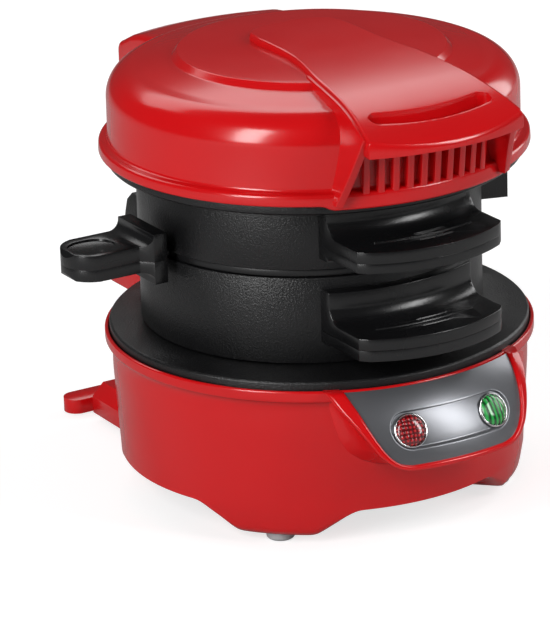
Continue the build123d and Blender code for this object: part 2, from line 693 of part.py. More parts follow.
# ---- Lower ring ----
lower_block_low = lower_ring_z + 6.6
lower_block_high = lower_ring_top - 3.3
lower_plate_low = lower_ring_z + 7.0
lower_plate_high = lower_ring_z + 13.8
lower_parting = lower_ring_z + 10.2
ear_in = lower_knuckle_in + 2.6
with BuildPart() as lower_ring:
    post(ring_r, lower_ring_z, lower_ring_top, 0, plate_y)
    for side in (-1, 1):
        low, high = sorted((side * ear_in, side * lower_knuckle_out))
        side_plate([
            (ring_rear - 6, lower_ring_z + 0.2), (hinge_y - 6.5, lower_ring_z + 0.2),
            (hinge_y - 6.5, hinge_z),
            (hinge_y + 4, hinge_z), (hinge_y + 1, hinge_z + 7), (hinge_y - 1, hinge_z + 16),
            (hinge_y - 2.5, hinge_z + 20.5), (hinge_y - 6, hinge_z + 23.5), (hinge_y - 12, hinge_z + 23.0),
            (ring_rear - 6, hinge_z + 17),
        ], low, high)
        low, high = sorted((side * lower_knuckle_in, side * lower_knuckle_out))
        cross_rod(knuckle_r, low, high, hinge_y, hinge_z)
    ring_tab(lower_parting, lower_plate_low, lower_plate_high)
    post(ring_r - ring_wall, lower_ring_z - 1, lower_ring_top + 1, 0, plate_y, mode=Mode.SUBTRACT)
    cross_rod(pin_r + pin_fit, -cheek_out, cheek_out, hinge_y, hinge_z, mode=Mode.SUBTRACT)
lower_ring.part.label = "lower_ring"
export_step(lower_ring.part, "parts/lower_ring.step")

lower_top, lower_base, lower_screws = make_handle(
    lower_block_low, lower_block_high, lower_plate_low, lower_plate_high, lower_parting)
lower_top.label = "lower_handle_top"
export_step(lower_top, "parts/lower_handle_top.step")
lower_base.label = "lower_handle_base"
export_step(lower_base, "parts/lower_handle_base.step")
lower_screws.label = "lower_handle_screws"
export_step(lower_screws, "parts/lower_handle_screws.step")

# ---- Upper ring ----
upper_block_low = upper_ring_z + 3.5
upper_block_high = upper_ring_top - 0.8
upper_plate_low = upper_ring_z + 4.8
upper_plate_high = upper_ring_z + 11.2
upper_parting = upper_ring_z + 7.7
pivot_y = hinge_y - 14.0
pivot_boss_r = 5.5
arm_low = upper_ring_z + 1.8
arm_high = upper_ring_z + 15.8
with BuildPart() as upper_ring:
    lathe([
        (0, upper_ring_z), (ring_r, upper_ring_z), (ring_r, upper_ring_top - 4.0),
        (ring_r - 0.5, upper_ring_top - 3.6), (ring_r - 0.5, upper_ring_top), (0, upper_ring_top),
    ], y=plate_y)
    for side in (-1, 1):
        low, high = sorted((side * upper_arm_in, side * upper_arm_out))
        side_plate([
            (ring_rear - 3, arm_low), (hinge_y - 6, arm_low), (hinge_y - 6, hinge_z), (hinge_y + 6, hinge_z),
            (hinge_y + 3, arm_low + 6), (hinge_y - 3, arm_high), (ring_rear - 3, arm_high),
        ], low, high)
        cross_rod(knuckle_r, low, high, hinge_y, hinge_z)
    post(pivot_boss_r, upper_ring_z, upper_ring_z + 7.8, 0, pivot_y)
    block((-pivot_boss_r, pivot_boss_r), (ring_rear - 3, pivot_y), (upper_ring_z, upper_ring_z + 7.8))
    block((-upper_arm_in - 0.5, upper_arm_in + 0.5), (ring_rear - 3, ring_rear + 4),
          (upper_ring_z, upper_ring_z + 7.8))
    with Locations(Location((0, plate_y, upper_ring_z), (0, 0, -17))):      # stop lug on the right
        with Locations((ring_r - 2, 0, 0)):
            Box(11.5, 7.5, upper_ring_h - 1.2, align=(Align.MIN, Align.CENTER, Align.MIN))
    ring_tab(upper_parting, upper_plate_low, upper_plate_high)
    post(ring_r - ring_wall, upper_ring_z - 1, upper_ring_top + 1, 0, plate_y, mode=Mode.SUBTRACT)
    cross_rod(pin_r + pin_fit, -cheek_out, cheek_out, hinge_y, hinge_z, mode=Mode.SUBTRACT)
    post(pin_r + pin_press, upper_ring_z - 1, upper_ring_z + 6.3, 0, pivot_y, mode=Mode.SUBTRACT)
upper_ring.part.label = "upper_ring"
export_step(upper_ring.part, "parts/upper_ring.step")

upper_top, upper_base, upper_screws = make_handle(
    upper_block_low, upper_block_high, upper_plate_low, upper_plate_high, upper_parting)
upper_top.label = "upper_handle_top"
export_step(upper_top, "parts/upper_handle_top.step")
upper_base.label = "upper_handle_base"
export_step(upper_base, "parts/upper_handle_base.step")
upper_screws.label = "upper_handle_screws"
export_step(upper_screws, "parts/upper_handle_screws.step")

with BuildPart() as plate_pivot_pin:
    post(pin_r, egg_z - 0.3, upper_ring_z + 6.2, 0, pivot_y)
    post(4.0, egg_z - 2.4, egg_z - 0.3, 0, pivot_y)
plate_pivot_pin.part.label = "plate_pivot_pin"
export_step(plate_pivot_pin.part, "parts/plate_pivot_pin.step")

# ---- Egg plate and its side handle ----
egg_r = ring_r - 0.7
egg_block_in = ring_r + 3.3
egg_block_out = egg_block_in + 4.3
egg_tip = egg_block_out + 23.4
egg_y = (plate_y - 7.0, plate_y + 11.3)
egg_block_y = (plate_y - 10.5, plate_y + 11.3)
egg_parting = egg_z + 1.6
egg_grip_low = egg_z - 2.0
egg_grip_high = egg_z + 6.1
egg_block_low = egg_z - 5.3
egg_block_high = egg_z + 10.1
egg_fillet_top = 3.4
egg_fillet_base = 1.8
tang_y = (plate_y - 4.0, plate_y + 8.0)
tang_end = egg_block_out + 12.0
egg_screw_x = (egg_block_out + 6.0, egg_block_out + 16.0)
egg_mid_y = sum(egg_y) / 2

with BuildPart() as egg_plate:
    post(egg_r, egg_z, egg_top, 0, plate_y)
    block((-pivot_boss_r, pivot_boss_r), (plate_y, pivot_y), (egg_z, egg_top))
    post(pivot_boss_r, egg_z, egg_top, 0, pivot_y)
    block((-tang_end, -egg_r + 4), tang_y, (egg_z, egg_top))
    post(pin_r + pin_fit, egg_z - 1, egg_top + 1, 0, pivot_y, mode=Mode.SUBTRACT)
    post(screw_d / 2 + 0.2, egg_z - 1, egg_top + 1, -egg_screw_x[0], egg_mid_y, mode=Mode.SUBTRACT)
egg_plate.part.label = "egg_plate"
export_step(egg_plate.part, "parts/egg_plate.step")


def egg_shell(grip_face, block_face, parting, fillet_r):
    """Half of the egg plate's handle, from a side profile cut to a round-ended plan."""
    turn = 1 if block_face > grip_face else -1
    reach = egg_block_y[1] - egg_block_y[0]
    with BuildSketch(Plane.XZ.offset(-egg_block_y[1])) as profile:
        with BuildLine():
            Polyline((-egg_block_in, parting), (-egg_block_in, block_face), (-egg_block_out, block_face),
                     (-egg_block_out, grip_face + turn * fillet_r))
            RadiusArc((-egg_block_out, grip_face + turn * fillet_r),
                      (-egg_block_out - fillet_r, grip_face), turn * fillet_r)
            Polyline((-egg_block_out - fillet_r, grip_face), (-egg_tip + 1.2, grip_face),
                     (-egg_tip, grip_face - turn * 1.6), (-egg_tip, parting), (-egg_block_in, parting))
        make_face()
    extrude(profile.sketch, amount=reach)
    with BuildSketch(Plane.XY.offset(egg_block_low - 5)) as plan:
        with BuildLine():
            near, far = egg_y
            Polyline((-egg_block_in + 1, egg_block_y[0]), (-egg_block_in + 1, egg_block_y[1]),
                     (-egg_block_out, egg_block_y[1]), (-egg_block_out - 3, far), (-egg_tip + 7, far))
            ThreePointArc((-egg_tip + 7, far), (-egg_tip, (near + far) / 2), (-egg_tip + 7, near))
            Polyline((-egg_tip + 7, near), (-egg_block_out - 3, near), (-egg_block_out, egg_block_y[0]),
                     (-egg_block_in + 1, egg_block_y[0]))
        make_face()
    extrude(plan.sketch, amount=egg_block_high - egg_block_low + 10, mode=Mode.INTERSECT)
    block((-tang_end - 0.1, -egg_block_in + 3), (tang_y[0] - 0.1, tang_y[1] + 0.1),
          (egg_z - 0.05, egg_top + 0.05), mode=Mode.SUBTRACT)


with BuildPart() as egg_handle_top:
    egg_shell(egg_grip_high, egg_block_high, egg_parting, egg_fillet_top)
    with BuildSketch(Plane.XY.offset(egg_grip_high - 0.6)) as grip_sunk:
        with Locations((-(egg_block_out + egg_tip) / 2 - 2.5, egg_mid_y)):
            SlotOverall(egg_tip - egg_block_out - 9, egg_y[1] - egg_y[0] - 6)
    extrude(amount=2, mode=Mode.SUBTRACT)
    for x in egg_screw_x:
        post(screw_d / 2 + screw_fit, egg_parting - 1, egg_grip_high - 1.6, -x, egg_mid_y, mode=Mode.SUBTRACT)
egg_handle_top.part.label = "egg_handle_top"
export_step(egg_handle_top.part, "parts/egg_handle_top.step")

with BuildPart() as egg_handle_base:
    egg_shell(egg_grip_low, egg_block_low, egg_parting, egg_fillet_base)
    for x in egg_screw_x:
        post(screw_d / 2 + screw_fit, egg_grip_low - 1, egg_parting + 1, -x, egg_mid_y, mode=Mode.SUBTRACT)
        post(screw_head_d / 2 + 0.2, egg_grip_low - 1, egg_grip_low + screw_head_h, -x, egg_mid_y,
             mode=Mode.SUBTRACT)
egg_handle_base.part.label = "egg_handle_base"
export_step(egg_handle_base.part, "parts/egg_handle_base.step")

with BuildPart() as egg_handle_screws:
    for x in egg_screw_x:
        screw(-x, egg_mid_y, egg_grip_low + screw_head_h - 0.1, egg_grip_high - egg_grip_low - 4.0)
egg_handle_screws.part.label = "egg_handle_screws"
export_step(egg_handle_screws.part, "parts/egg_handle_screws.step")

# ---- Lid ----
liner_t = 3.1
liner_r = lid_wall_r + 0.6
bead_r = lid_wall_r + lid_bead_proud
bead_low = lid_z + liner_t + 0.1
bead_high = bead_low + 3.5
shoulder_r = 9.4
shoulder_z = lid_z + 19.7
dome_top = lid_top - 1.8  # where the dome's curve would meet the axis
hollow_top = lid_top - 3.9
disc_r = 40.3             # raised disc on the crown
disc_slope = 1.7
disc_rim_z = lid_top - 3.6
disc_top = lid_top - 1.9
strap_bend = 400.0
strap_nose_bend = 85.0
strap_nose_y = -lid_wall_r + 14.0
strap_mid_y = 5.0


def cap_arc(edge_r, edge_z, top_z, inner_r=0.0):
    """Arc of a shallow spherical cap, from its edge inwards to a radius, its top being on the axis."""
    drop = top_z - edge_z
    radius = (edge_r ** 2 + drop ** 2) / (2 * drop)
    places = (edge_r, (edge_r + inner_r) / 2, inner_r)
    return ThreePointArc(*[(r, top_z - radius + sqrt(radius ** 2 - r ** 2)) for r in places])


def lid_profile(inset=0.0, low=bead_low, skin=True):
    """Half section of the lid's skin with beads and disc, or of the plain hollow under it."""
    shoulder_in = lid_wall_r - shoulder_r
    radius = shoulder_r - inset
    side = shoulder_in + radius
    edge = (shoulder_in, shoulder_z + radius)
    bend = radius * cos(radians(45))
    with BuildLine() as outline:
        if skin:
            Polyline((0, low), (bead_r - inset - 0.6, low), (bead_r - inset, low + 0.7),
                     (bead_r - inset, bead_high - 0.9), (bead_r - inset - 0.8, bead_high),
                     (side, bead_high + 0.5), (side, shoulder_z))
        else:
            Polyline((0, low), (side, low), (side, shoulder_z))
        ThreePointArc((side, shoulder_z), (shoulder_in + bend, shoulder_z + bend), edge)
        if skin:
            dome = cap_arc(*edge, dome_top - inset, inner_r=disc_r + disc_slope)
            Line(dome @ 1, (disc_r - inset, disc_rim_z - inset))
            cap_arc(disc_r - inset, disc_rim_z - inset, disc_top - inset)
            Line((0, disc_top - inset), (0, low))
        else:
            cap_arc(*edge, hollow_top)
            Line((0, hollow_top), (0, low))
    make_face(outline.edges())


def lid_solid(inset=0.0, low=bead_low, skin=True, mode=Mode.ADD):
    """Solid of the lid's outer form or of its hollow."""
    with BuildSketch(Plane.XZ) as section:
        lid_profile(inset, low, skin)
    revolve(section.sketch, axis=Axis.Z, mode=mode)


rear_block_half = 25.5
rear_block_y = hinge_y - 8.2
rear_block_top = lid_z + 26.2
arm_front = rim_r + 1.0
arm_back = rear_block_y - 1.4
arm_top = lid_z + 15.6
skirt_half = 28.0         # degrees either side of the front
skirt_low = lid_z + 1.9
liner_boss_at = lid_wall_r - 4.6
liner_boss_r = 2.8
liner_boss_top = lid_z + 14.0
liner_angles = (0, 180, 240, 300)
inner_post_top = shoulder_z + shoulder_r + 0.4
arm_screw_z = (lid_z + 7.0, lid_z + 13.0)
arm_screw_y = (arm_front + arm_back) / 2

with BuildPart() as skirt_tool:
    lathe([(bead_r - shell_t, skirt_low), (bead_r - 0.4, skirt_low), (bead_r, skirt_low + 0.5),
           (bead_r, bead_low + 1), (bead_r - shell_t, bead_low + 1)])
    with BuildSketch(Plane.XY.offset(skirt_low - 1)) as skirt_wedge:
        with BuildLine():
            Polyline((0, 0), polar(90, 270 - skirt_half), polar(90, 270 + skirt_half), close=True)
        make_face()
    extrude(amount=20, mode=Mode.INTERSECT)

with BuildPart() as lid_shell:
    lid_solid()
    side_plate([
        (lid_wall_r - 10, bead_low + 0.6), (rear_block_y, bead_low + 0.6),
        (rear_block_y, rear_block_top - 4.9), (rear_block_y - 0.9, rear_block_top - 3.4),
        (rear_block_y - 3.8, rear_block_top - 2.3), (rear_block_y - 9.8, rear_block_top),
        (lid_wall_r - 10, rear_block_top + 2.0),
    ], -rear_block_half, rear_block_half)
    lid_solid(inset=shell_t, low=bead_low - 1, skin=False, mode=Mode.SUBTRACT)
    for angle in liner_angles:
        bx, by = polar(liner_boss_at, angle)
        post(liner_boss_r, bead_low, liner_boss_top, bx, by)
        post(screw_d / 2 + screw_fit, bead_low - 1, liner_boss_top - 1, bx, by, mode=Mode.SUBTRACT)
    for x in (-leg_post_at, leg_post_at):
        for y in (-leg_post_at, leg_post_at):
            post(leg_post_r - 1, bead_low + plate_disc_t + 0.1, inner_post_top, x, y)
    block((-lid_arm_half - 0.1, lid_arm_half + 0.1), (arm_front - 0.1, arm_back + 0.1),
          (bead_low - 2, arm_top + 0.1), mode=Mode.SUBTRACT)
    for z in arm_screw_z:
        cross_rod(screw_d / 2 + screw_fit, -rear_block_half + 2, rear_block_half + 1, arm_screw_y, z,
                  mode=Mode.SUBTRACT)
        cross_rod(screw_head_d / 2 + 0.1, rear_block_half - screw_head_h, rear_block_half + 1, arm_screw_y, z,
                  mode=Mode.SUBTRACT)
    add(skirt_tool.part)
lid_shell.part.label = "lid_shell"
export_step(lid_shell.part, "parts/lid_shell.step")

# ---- Lid handle: strap over the crown, slotted grip, flank webs and ribs ----
grip_y = lid_wall_r + 10.0         # where the strap is widest
strap_plan = [(16.0, -15.0), (18.0, -25.0), (20.0, -33.0), (23.3, 14.0 - grip_y), (26.0, -grip_y)]
strap_rear = 17.5
strap_front = lid_wall_r + 16.5
grip_under = lid_top - 15.0
slot_y = lid_wall_r + 5.0
slot_half = 20.5
slot_w = 5.4
rib_pitch = 4.0           # degrees
rib_count = 10
rib_t = 2.0
rib_out = bead_r + 1.0


def strap_side(low=lid_z + 6.7):
    """Side profile under the strap: a long curve over the lid that turns down at its nose."""
    share = strap_nose_bend / strap_bend
    fall = lid_top - strap_bend
    turn_y = strap_nose_y - strap_mid_y
    turn_z = fall + sqrt(strap_bend ** 2 - turn_y ** 2)
    nose_y = strap_nose_y - turn_y * share
    nose_z = turn_z - (turn_z - fall) * share

    def height(y):
        return fall + sqrt(strap_bend ** 2 - (y - strap_mid_y) ** 2)

    def nose_height(y):
        return nose_z + sqrt(strap_nose_bend ** 2 - (y - nose_y) ** 2)

    with BuildLine() as outline:
        ThreePointArc((-95, nose_height(-95)), (-70, nose_height(-70)), (strap_nose_y, turn_z))
        ThreePointArc((strap_nose_y, turn_z), (-10, height(-10)), (30, height(30)))
        Polyline((30, height(30)), (30, low), (-95, low), (-95, nose_height(-95)))
    make_face(outline.edges())


with BuildPart() as lid_cut:
    lid_solid(inset=-0.05, low=bead_low - 6)

with BuildPart() as strap_envelope:
    with BuildSketch(SIDE_VIEW.offset(-40)) as strap_profile:
        strap_side()
    extrude(amount=80)

with BuildPart() as gussets:
    top_in = Vector(19.5, -31.0, lid_top - 4.4)
    top_out = Vector(25.8, 0.5 - grip_y, lid_top - 11.0)
    foot = Vector(28.6, 13.6 - grip_y, bead_low + 0.6)
    web = Plane(top_in, x_dir=top_out - top_in, z_dir=(top_out - top_in).cross(foot - top_in))
    corners = [web.to_local_coords(p) for p in (
        top_in, top_out, Vector(26.4, 0.4 - grip_y, grip_under + 0.3),
        Vector(28.6, 11.8 - grip_y, bead_low + 0.6), Vector(27.0, 20.0 - grip_y, bead_low + 0.6))]
    with BuildSketch(web) as web_outline:
        with BuildLine():
            Polyline(*[(p.X, p.Y) for p in corners], close=True)
        make_face()
    extrude(amount=1.2, both=True)
    mirror(about=Plane.YZ)

with BuildPart() as lid_handle:
    nose = (25.4, -1.4 - grip_y)
    with BuildSketch(Plane.XY.offset(grip_under)) as strap_outline:
        with BuildLine():
            left = [(-x, y) for x, y in reversed(strap_plan)]
            Polyline((14.5, 10.0), (16.0, 7.0), *strap_plan, nose)
            ThreePointArc(nose, (0, -strap_front), (-nose[0], nose[1]))
            Polyline((-nose[0], nose[1]), *left, (-16.0, 7.0), (-14.5, 10.0))
            ThreePointArc((-14.5, 10.0), (0, strap_rear), (14.5, 10.0))
        make_face()
    extrude(amount=30)
    add(strap_envelope.part, mode=Mode.INTERSECT)
    with BuildSketch(Plane.XY.offset(grip_under - 1)) as slot:
        SlotArc(ThreePointArc((-slot_half + slot_w / 2, 3.0 - slot_y), (0, -slot_y),
                              (slot_half - slot_w / 2, 3.0 - slot_y), mode=Mode.PRIVATE), slot_w)
    extrude(amount=30, mode=Mode.SUBTRACT)
    add(gussets.part)
    for i in range(rib_count):
        angle = 270 + (i - (rib_count - 1) / 2) * rib_pitch
        with Locations(Location((0, 0, bead_low + 0.6), (0, 0, angle))):
            with Locations((lid_wall_r - 2, 0, 0)):
                Box(rib_out - lid_wall_r + 2, rib_t, grip_under - bead_low,
                    align=(Align.MIN, Align.CENTER, Align.MIN))
    add(lid_cut.part, mode=Mode.SUBTRACT)
lid_handle.part.label = "lid_handle"
export_step(lid_handle.part, "parts/lid_handle.step")

# ---- Liner, upper plate and heating ----
with BuildPart() as lid_liner:
    lathe([(0, lid_z), (liner_r - 0.6, lid_z), (liner_r, lid_z + 0.6), (liner_r, lid_z + liner_t),
           (0, lid_z + liner_t)])
    post(plate_hole_r, lid_z - 1, lid_z + liner_t + 1, 0, plate_y, mode=Mode.SUBTRACT)
    for angle in liner_angles:
        bx, by = polar(liner_boss_at, angle)
        post(screw_d / 2 + 0.2, lid_z - 1, lid_z + 5, bx, by, mode=Mode.SUBTRACT)
        post(screw_head_d / 2 + 0.1, lid_z - 1, lid_z + screw_head_h, bx, by, mode=Mode.SUBTRACT)
    with BuildSketch(Plane.XY.offset(lid_z - 1)) as skirt_room:
        with BuildLine():
            Polyline((0, 0), polar(90, 270 - skirt_half - 1), polar(90, 270 + skirt_half + 1), close=True)
        make_face()
        Circle(bead_r - shell_t - 0.3, mode=Mode.SUBTRACT)
    extrude(amount=12, mode=Mode.SUBTRACT)
lid_liner.part.label = "lid_liner"
export_step(lid_liner.part, "parts/lid_liner.step")

with BuildPart() as liner_screws:
    for angle in liner_angles:
        bx, by = polar(liner_boss_at, angle)
        screw(bx, by, lid_z + screw_head_h, 9)
liner_screws.part.label = "liner_screws"
export_step(liner_screws.part, "parts/liner_screws.step")

plate_back = lid_z + liner_t + plate_disc_t
with BuildPart() as upper_heating_plate:
    lathe([
        (0, plate_back), (plate_disc_r, plate_back), (plate_disc_r, lid_z + liner_t),
        (plate_boss_r, lid_z + liner_t), (plate_boss_r, lid_z + 0.8), (plate_boss_r - 0.8, lid_z),
        (plate_boss_r - 6, lid_z), (plate_boss_r - 7.5, lid_z + 0.8), (0, lid_z + 0.8),
    ], y=plate_y)
upper_heating_plate.part.label = "upper_heating_plate"
export_step(upper_heating_plate.part, "parts/upper_heating_plate.step")

with BuildPart() as upper_heater:
    heater(plate_back + heater_tube_r + seat_fit, 1)
upper_heater.part.label = "upper_heater"
export_step(upper_heater.part, "parts/upper_heater.step")

with BuildPart() as upper_thermostat:
    post(thermostat_r, plate_back, plate_back + thermostat_h, 0, plate_y)
    for side in (-1, 1):
        block((side * 5 - 0.4, side * 5 + 0.4), (plate_y - 2.5, plate_y + 2.5),
              (plate_back + thermostat_h, plate_back + thermostat_h + 6))
upper_thermostat.part.label = "upper_thermostat"
export_step(upper_thermostat.part, "parts/upper_thermostat.step")

# ---- Lid hinge arm ----
with BuildPart() as lid_hinge_arm:
    side_plate([
        (hinge_y - 6.5, hinge_z), (hinge_y - 6.5, lid_z - 11), (arm_front, lid_z + 0.3), (arm_front, arm_top),
        (arm_back, arm_top), (arm_back, lid_z + 3.3), (hinge_y + 2, lid_z - 6.5), (hinge_y + 4, hinge_z),
    ], -lid_arm_half, lid_arm_half)
    cross_rod(knuckle_r, -lid_arm_half, lid_arm_half, hinge_y, hinge_z)
    cross_rod(pin_r + pin_fit, -cheek_out, cheek_out, hinge_y, hinge_z, mode=Mode.SUBTRACT)
    for z in arm_screw_z:
        cross_rod(screw_d / 2 + 0.1, -20, 20, arm_screw_y, z, mode=Mode.SUBTRACT)
lid_hinge_arm.part.label = "lid_hinge_arm"
export_step(lid_hinge_arm.part, "parts/lid_hinge_arm.step")

with BuildPart() as lid_arm_screws:
    for z in arm_screw_z:
        cross_rod(screw_d / 2, -rear_block_half + 3, rear_block_half - 1, arm_screw_y, z)
        cross_rod(screw_head_d / 2, rear_block_half - screw_head_h, rear_block_half - 0.2, arm_screw_y, z)
lid_arm_screws.part.label = "lid_arm_screws"
export_step(lid_arm_screws.part, "parts/lid_arm_screws.step")
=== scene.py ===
"""Breakfast sandwich maker: finished surfaces, materials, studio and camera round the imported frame."""
import json
from math import atan, cos, pi, radians, sin, sqrt

import bmesh
import bpy
import numpy as np
from bpy.props import FloatProperty, FloatVectorProperty, IntProperty, PointerProperty
from mathutils import Matrix, Vector


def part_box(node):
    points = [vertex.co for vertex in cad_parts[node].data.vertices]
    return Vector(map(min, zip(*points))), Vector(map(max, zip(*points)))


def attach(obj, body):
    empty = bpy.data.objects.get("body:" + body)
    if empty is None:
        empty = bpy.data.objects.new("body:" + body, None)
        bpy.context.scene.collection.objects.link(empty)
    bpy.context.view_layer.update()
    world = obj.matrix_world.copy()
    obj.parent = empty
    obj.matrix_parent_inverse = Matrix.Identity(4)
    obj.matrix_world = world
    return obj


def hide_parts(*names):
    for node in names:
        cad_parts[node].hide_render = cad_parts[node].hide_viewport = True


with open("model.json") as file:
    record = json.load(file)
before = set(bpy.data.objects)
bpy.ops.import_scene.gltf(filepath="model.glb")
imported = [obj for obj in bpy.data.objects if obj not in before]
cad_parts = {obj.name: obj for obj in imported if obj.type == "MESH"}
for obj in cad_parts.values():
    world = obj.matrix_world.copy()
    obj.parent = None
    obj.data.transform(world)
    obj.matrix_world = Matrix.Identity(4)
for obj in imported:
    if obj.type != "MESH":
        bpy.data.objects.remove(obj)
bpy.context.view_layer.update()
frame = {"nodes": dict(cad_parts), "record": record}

bl_info = {
    "name": "Breakfast sandwich maker",
    "version": (1, 0, 0),
    "blender": (4, 5, 0),
    "location": "3D View > Sidebar > Sandwich",
    "description": "Builds the visible pieces of a two-ring breakfast sandwich maker",
    "category": "Object",
}

MM = 0.001
NODE_SLOT = {s["node"]: s["material_slot"] for s in frame["record"]["subparts"]}
LID_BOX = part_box("lid_shell")
HANDLE_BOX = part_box("lid_handle")
FLANGE_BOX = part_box("base_flange")


def in_mm(value):
    """A frame length in millimetres, rounded to a hundredth."""
    return round(value / MM, 2)


# ---------------------------------------------------------------- sizes and colours
class LidSizes(bpy.types.PropertyGroup):
    """Sizes of the domed lid and its strap handle, in millimetres."""
    wall: FloatProperty(name="Wall radius", description="Radius of the lid's upright wall", default=62.0)
    shoulder: FloatProperty(name="Shoulder", description="Radius of the rounded shoulder", default=9.4)
    bead: FloatProperty(name="Rim bead radius", description="Outside radius of the rim bead",
                        default=in_mm(LID_BOX[1].x))
    strap_bend: FloatProperty(name="Strap bend", description="Radius of the strap's long curve",
                              default=400.0)
    nose_bend: FloatProperty(name="Nose bend", description="Radius of the curve at the strap's nose",
                             default=85.0)
    disc: FloatProperty(name="Crown disc radius", description="Radius of the raised disc", default=40.3)
    ribs: IntProperty(name="Ribs", description="Upright ribs under the grip", default=10, min=1)


class BaseSizes(bpy.types.PropertyGroup):
    """Sizes of the red base and its grey panel, in millimetres."""
    wall: FloatProperty(name="Wall radius", description="Radius of the wall under the rim", default=63.4)
    wall_low: FloatProperty(name="Lower wall radius", description="Radius at the wall's lower edge",
                            default=62.0)
    leg_top: FloatProperty(name="Leg half width", description="Half width of a leg at the wall", default=24.2)
    leg_low: FloatProperty(name="Foot half width", description="Half width of a leg at its foot",
                           default=12.4)
    bulge: FloatProperty(name="Panel curve", description="Radius of the panel's upright curve", default=31.57)
    lip: FloatProperty(name="Hood lip", description="Height of the hood's lip above the panel", default=1.0)


class Finish(bpy.types.PropertyGroup):
    """Colours of the finishes."""
    red: FloatVectorProperty(name="Red", description="Glossy moulded body colour", subtype="COLOR",
                             size=3, default=(0.62, 0.004, 0.006), min=0, max=1)
    cast: FloatVectorProperty(name="Cast", description="Coated cast rings and plates", subtype="COLOR",
                              size=3, default=(0.006, 0.006, 0.0065), min=0, max=1)
    grip: FloatVectorProperty(name="Grips", description="Heat-proof black handles", subtype="COLOR",
                              size=3, default=(0.005, 0.005, 0.0055), min=0, max=1)
    panel: FloatVectorProperty(name="Panel", description="Metallic grey panel", subtype="COLOR",
                               size=3, default=(0.20, 0.205, 0.22), min=0, max=1)


# ---------------------------------------------------------------- mesh tools
def smooth_step(low, high, value):
    """0 below low, 1 above high and a smooth S between them."""
    t = np.clip((value - low) / (high - low), 0, 1)
    return t * t * (3 - 2 * t)


def rounded_path(points, radii, steps=6, closed=False):
    """Polyline whose corners are replaced by arcs of the given radii, as points along the path.

    The arc at a corner is tangent to both sides; a radius is cut down where its sides are too short.
    """
    points = np.asarray(points, float)
    radii = np.broadcast_to(np.asarray(radii, float), len(points))
    out = []
    for i, corner in enumerate(points):
        if not closed and i in (0, len(points) - 1) or radii[i] <= 0:
            out.append(corner[None])
            continue
        before, after = points[i - 1] - corner, points[(i + 1) % len(points)] - corner
        la, lb = np.linalg.norm(before), np.linalg.norm(after)
        a, b = before / la, after / lb
        half = np.arccos(np.clip(a @ b, -1, 1)) / 2
        if half > pi / 2 - 1e-3:
            out.append(corner[None])
            continue
        reach = min(radii[i] / np.tan(half), 0.49 * la, 0.49 * lb)
        radius = reach * np.tan(half)
        middle = (a + b) / np.linalg.norm(a + b)
        centre = corner + middle * radius / np.sin(half)
        start, end = corner + a * reach - centre, corner + b * reach - centre
        angle = np.arccos(np.clip(start @ end / radius ** 2, -1, 1))
        t = np.linspace(0, 1, steps + 1)[:, None]
        out.append(centre + (start * np.sin((1 - t) * angle) + end * np.sin(t * angle)) / np.sin(angle))
    return np.vstack(out)


def resample(path, count, closed=False):
    """Points spaced evenly along a polyline."""
    line = np.vstack([path, path[:1]]) if closed else path
    length = np.r_[0, np.cumsum(np.linalg.norm(np.diff(line, axis=0), axis=1))]
    at = np.linspace(0, length[-1], count + 1)[:-1] if closed else np.linspace(0, length[-1], count)
    return np.stack([np.interp(at, length, line[:, k]) for k in range(line.shape[1])], 1)


def arc(centre, radius, start, end, steps):
    """Points on a circle between two angles in degrees."""
    t = np.radians(np.linspace(start, end, steps))
    return np.stack([centre[0] + radius * np.cos(t), centre[1] + radius * np.sin(t)], 1)


def new_object(name, points, faces, uv=None):
    """Mesh object from points in millimetres and faces, merged, closed at its poles and turned outwards."""
    mesh = bpy.data.meshes.new(name)
    mesh.from_pydata((np.asarray(points) * MM).tolist(), [], [list(map(int, f)) for f in faces])
    obj = bpy.data.objects.new(name, mesh)
    bpy.context.scene.collection.objects.link(obj)
    bm = bmesh.new()
    bm.from_mesh(mesh)
    if uv is not None:
        layer = bm.loops.layers.uv.new("UVMap")
        bm.verts.ensure_lookup_table()
        for face in bm.faces:
            for loop in face.loops:
                loop[layer].uv = uv[loop.vert.index]
    bmesh.ops.remove_doubles(bm, verts=bm.verts, dist=2e-6)
    bmesh.ops.dissolve_degenerate(bm, edges=bm.edges, dist=1e-7)
    bmesh.ops.recalc_face_normals(bm, faces=bm.faces)
    for face in bm.faces:
        face.smooth = True
    bm.to_mesh(mesh)
    bm.free()
    return obj


def sharpen(obj, degrees):
    """Marks the edges that turn by more than an angle as sharp, so that flats stay flat."""
    bm = bmesh.new()
    bm.from_mesh(obj.data)
    for edge in bm.edges:
        edge.smooth = not (len(edge.link_faces) == 2 and edge.calc_face_angle(0) > radians(degrees))
    for face in bm.faces:
        face.smooth = True
    bm.to_mesh(obj.data)
    bm.free()


def grid_faces(rows, columns, wrap_rows=False, wrap_columns=False, start=0):
    """Quads over a grid of points, with either direction closed on itself."""
    index = np.arange(rows * columns).reshape(rows, columns) + start
    if wrap_rows:
        index = np.vstack([index, index[:1]])
    if wrap_columns:
        index = np.hstack([index, index[:, :1]])
    return np.stack([index[:-1, :-1], index[1:, :-1], index[1:, 1:], index[:-1, 1:]], -1).reshape(-1, 4)


def grid_object(name, grid, wrap_rows=False, wrap_columns=False, uv=None):
    """Surface object over a (rows, columns, 3) array of points in millimetres."""
    rows, columns = grid.shape[:2]
    faces = grid_faces(rows, columns, wrap_rows, wrap_columns)
    flat_uv = None if uv is None else uv.reshape(-1, 2)
    return new_object(name, grid.reshape(-1, 3), faces, flat_uv)


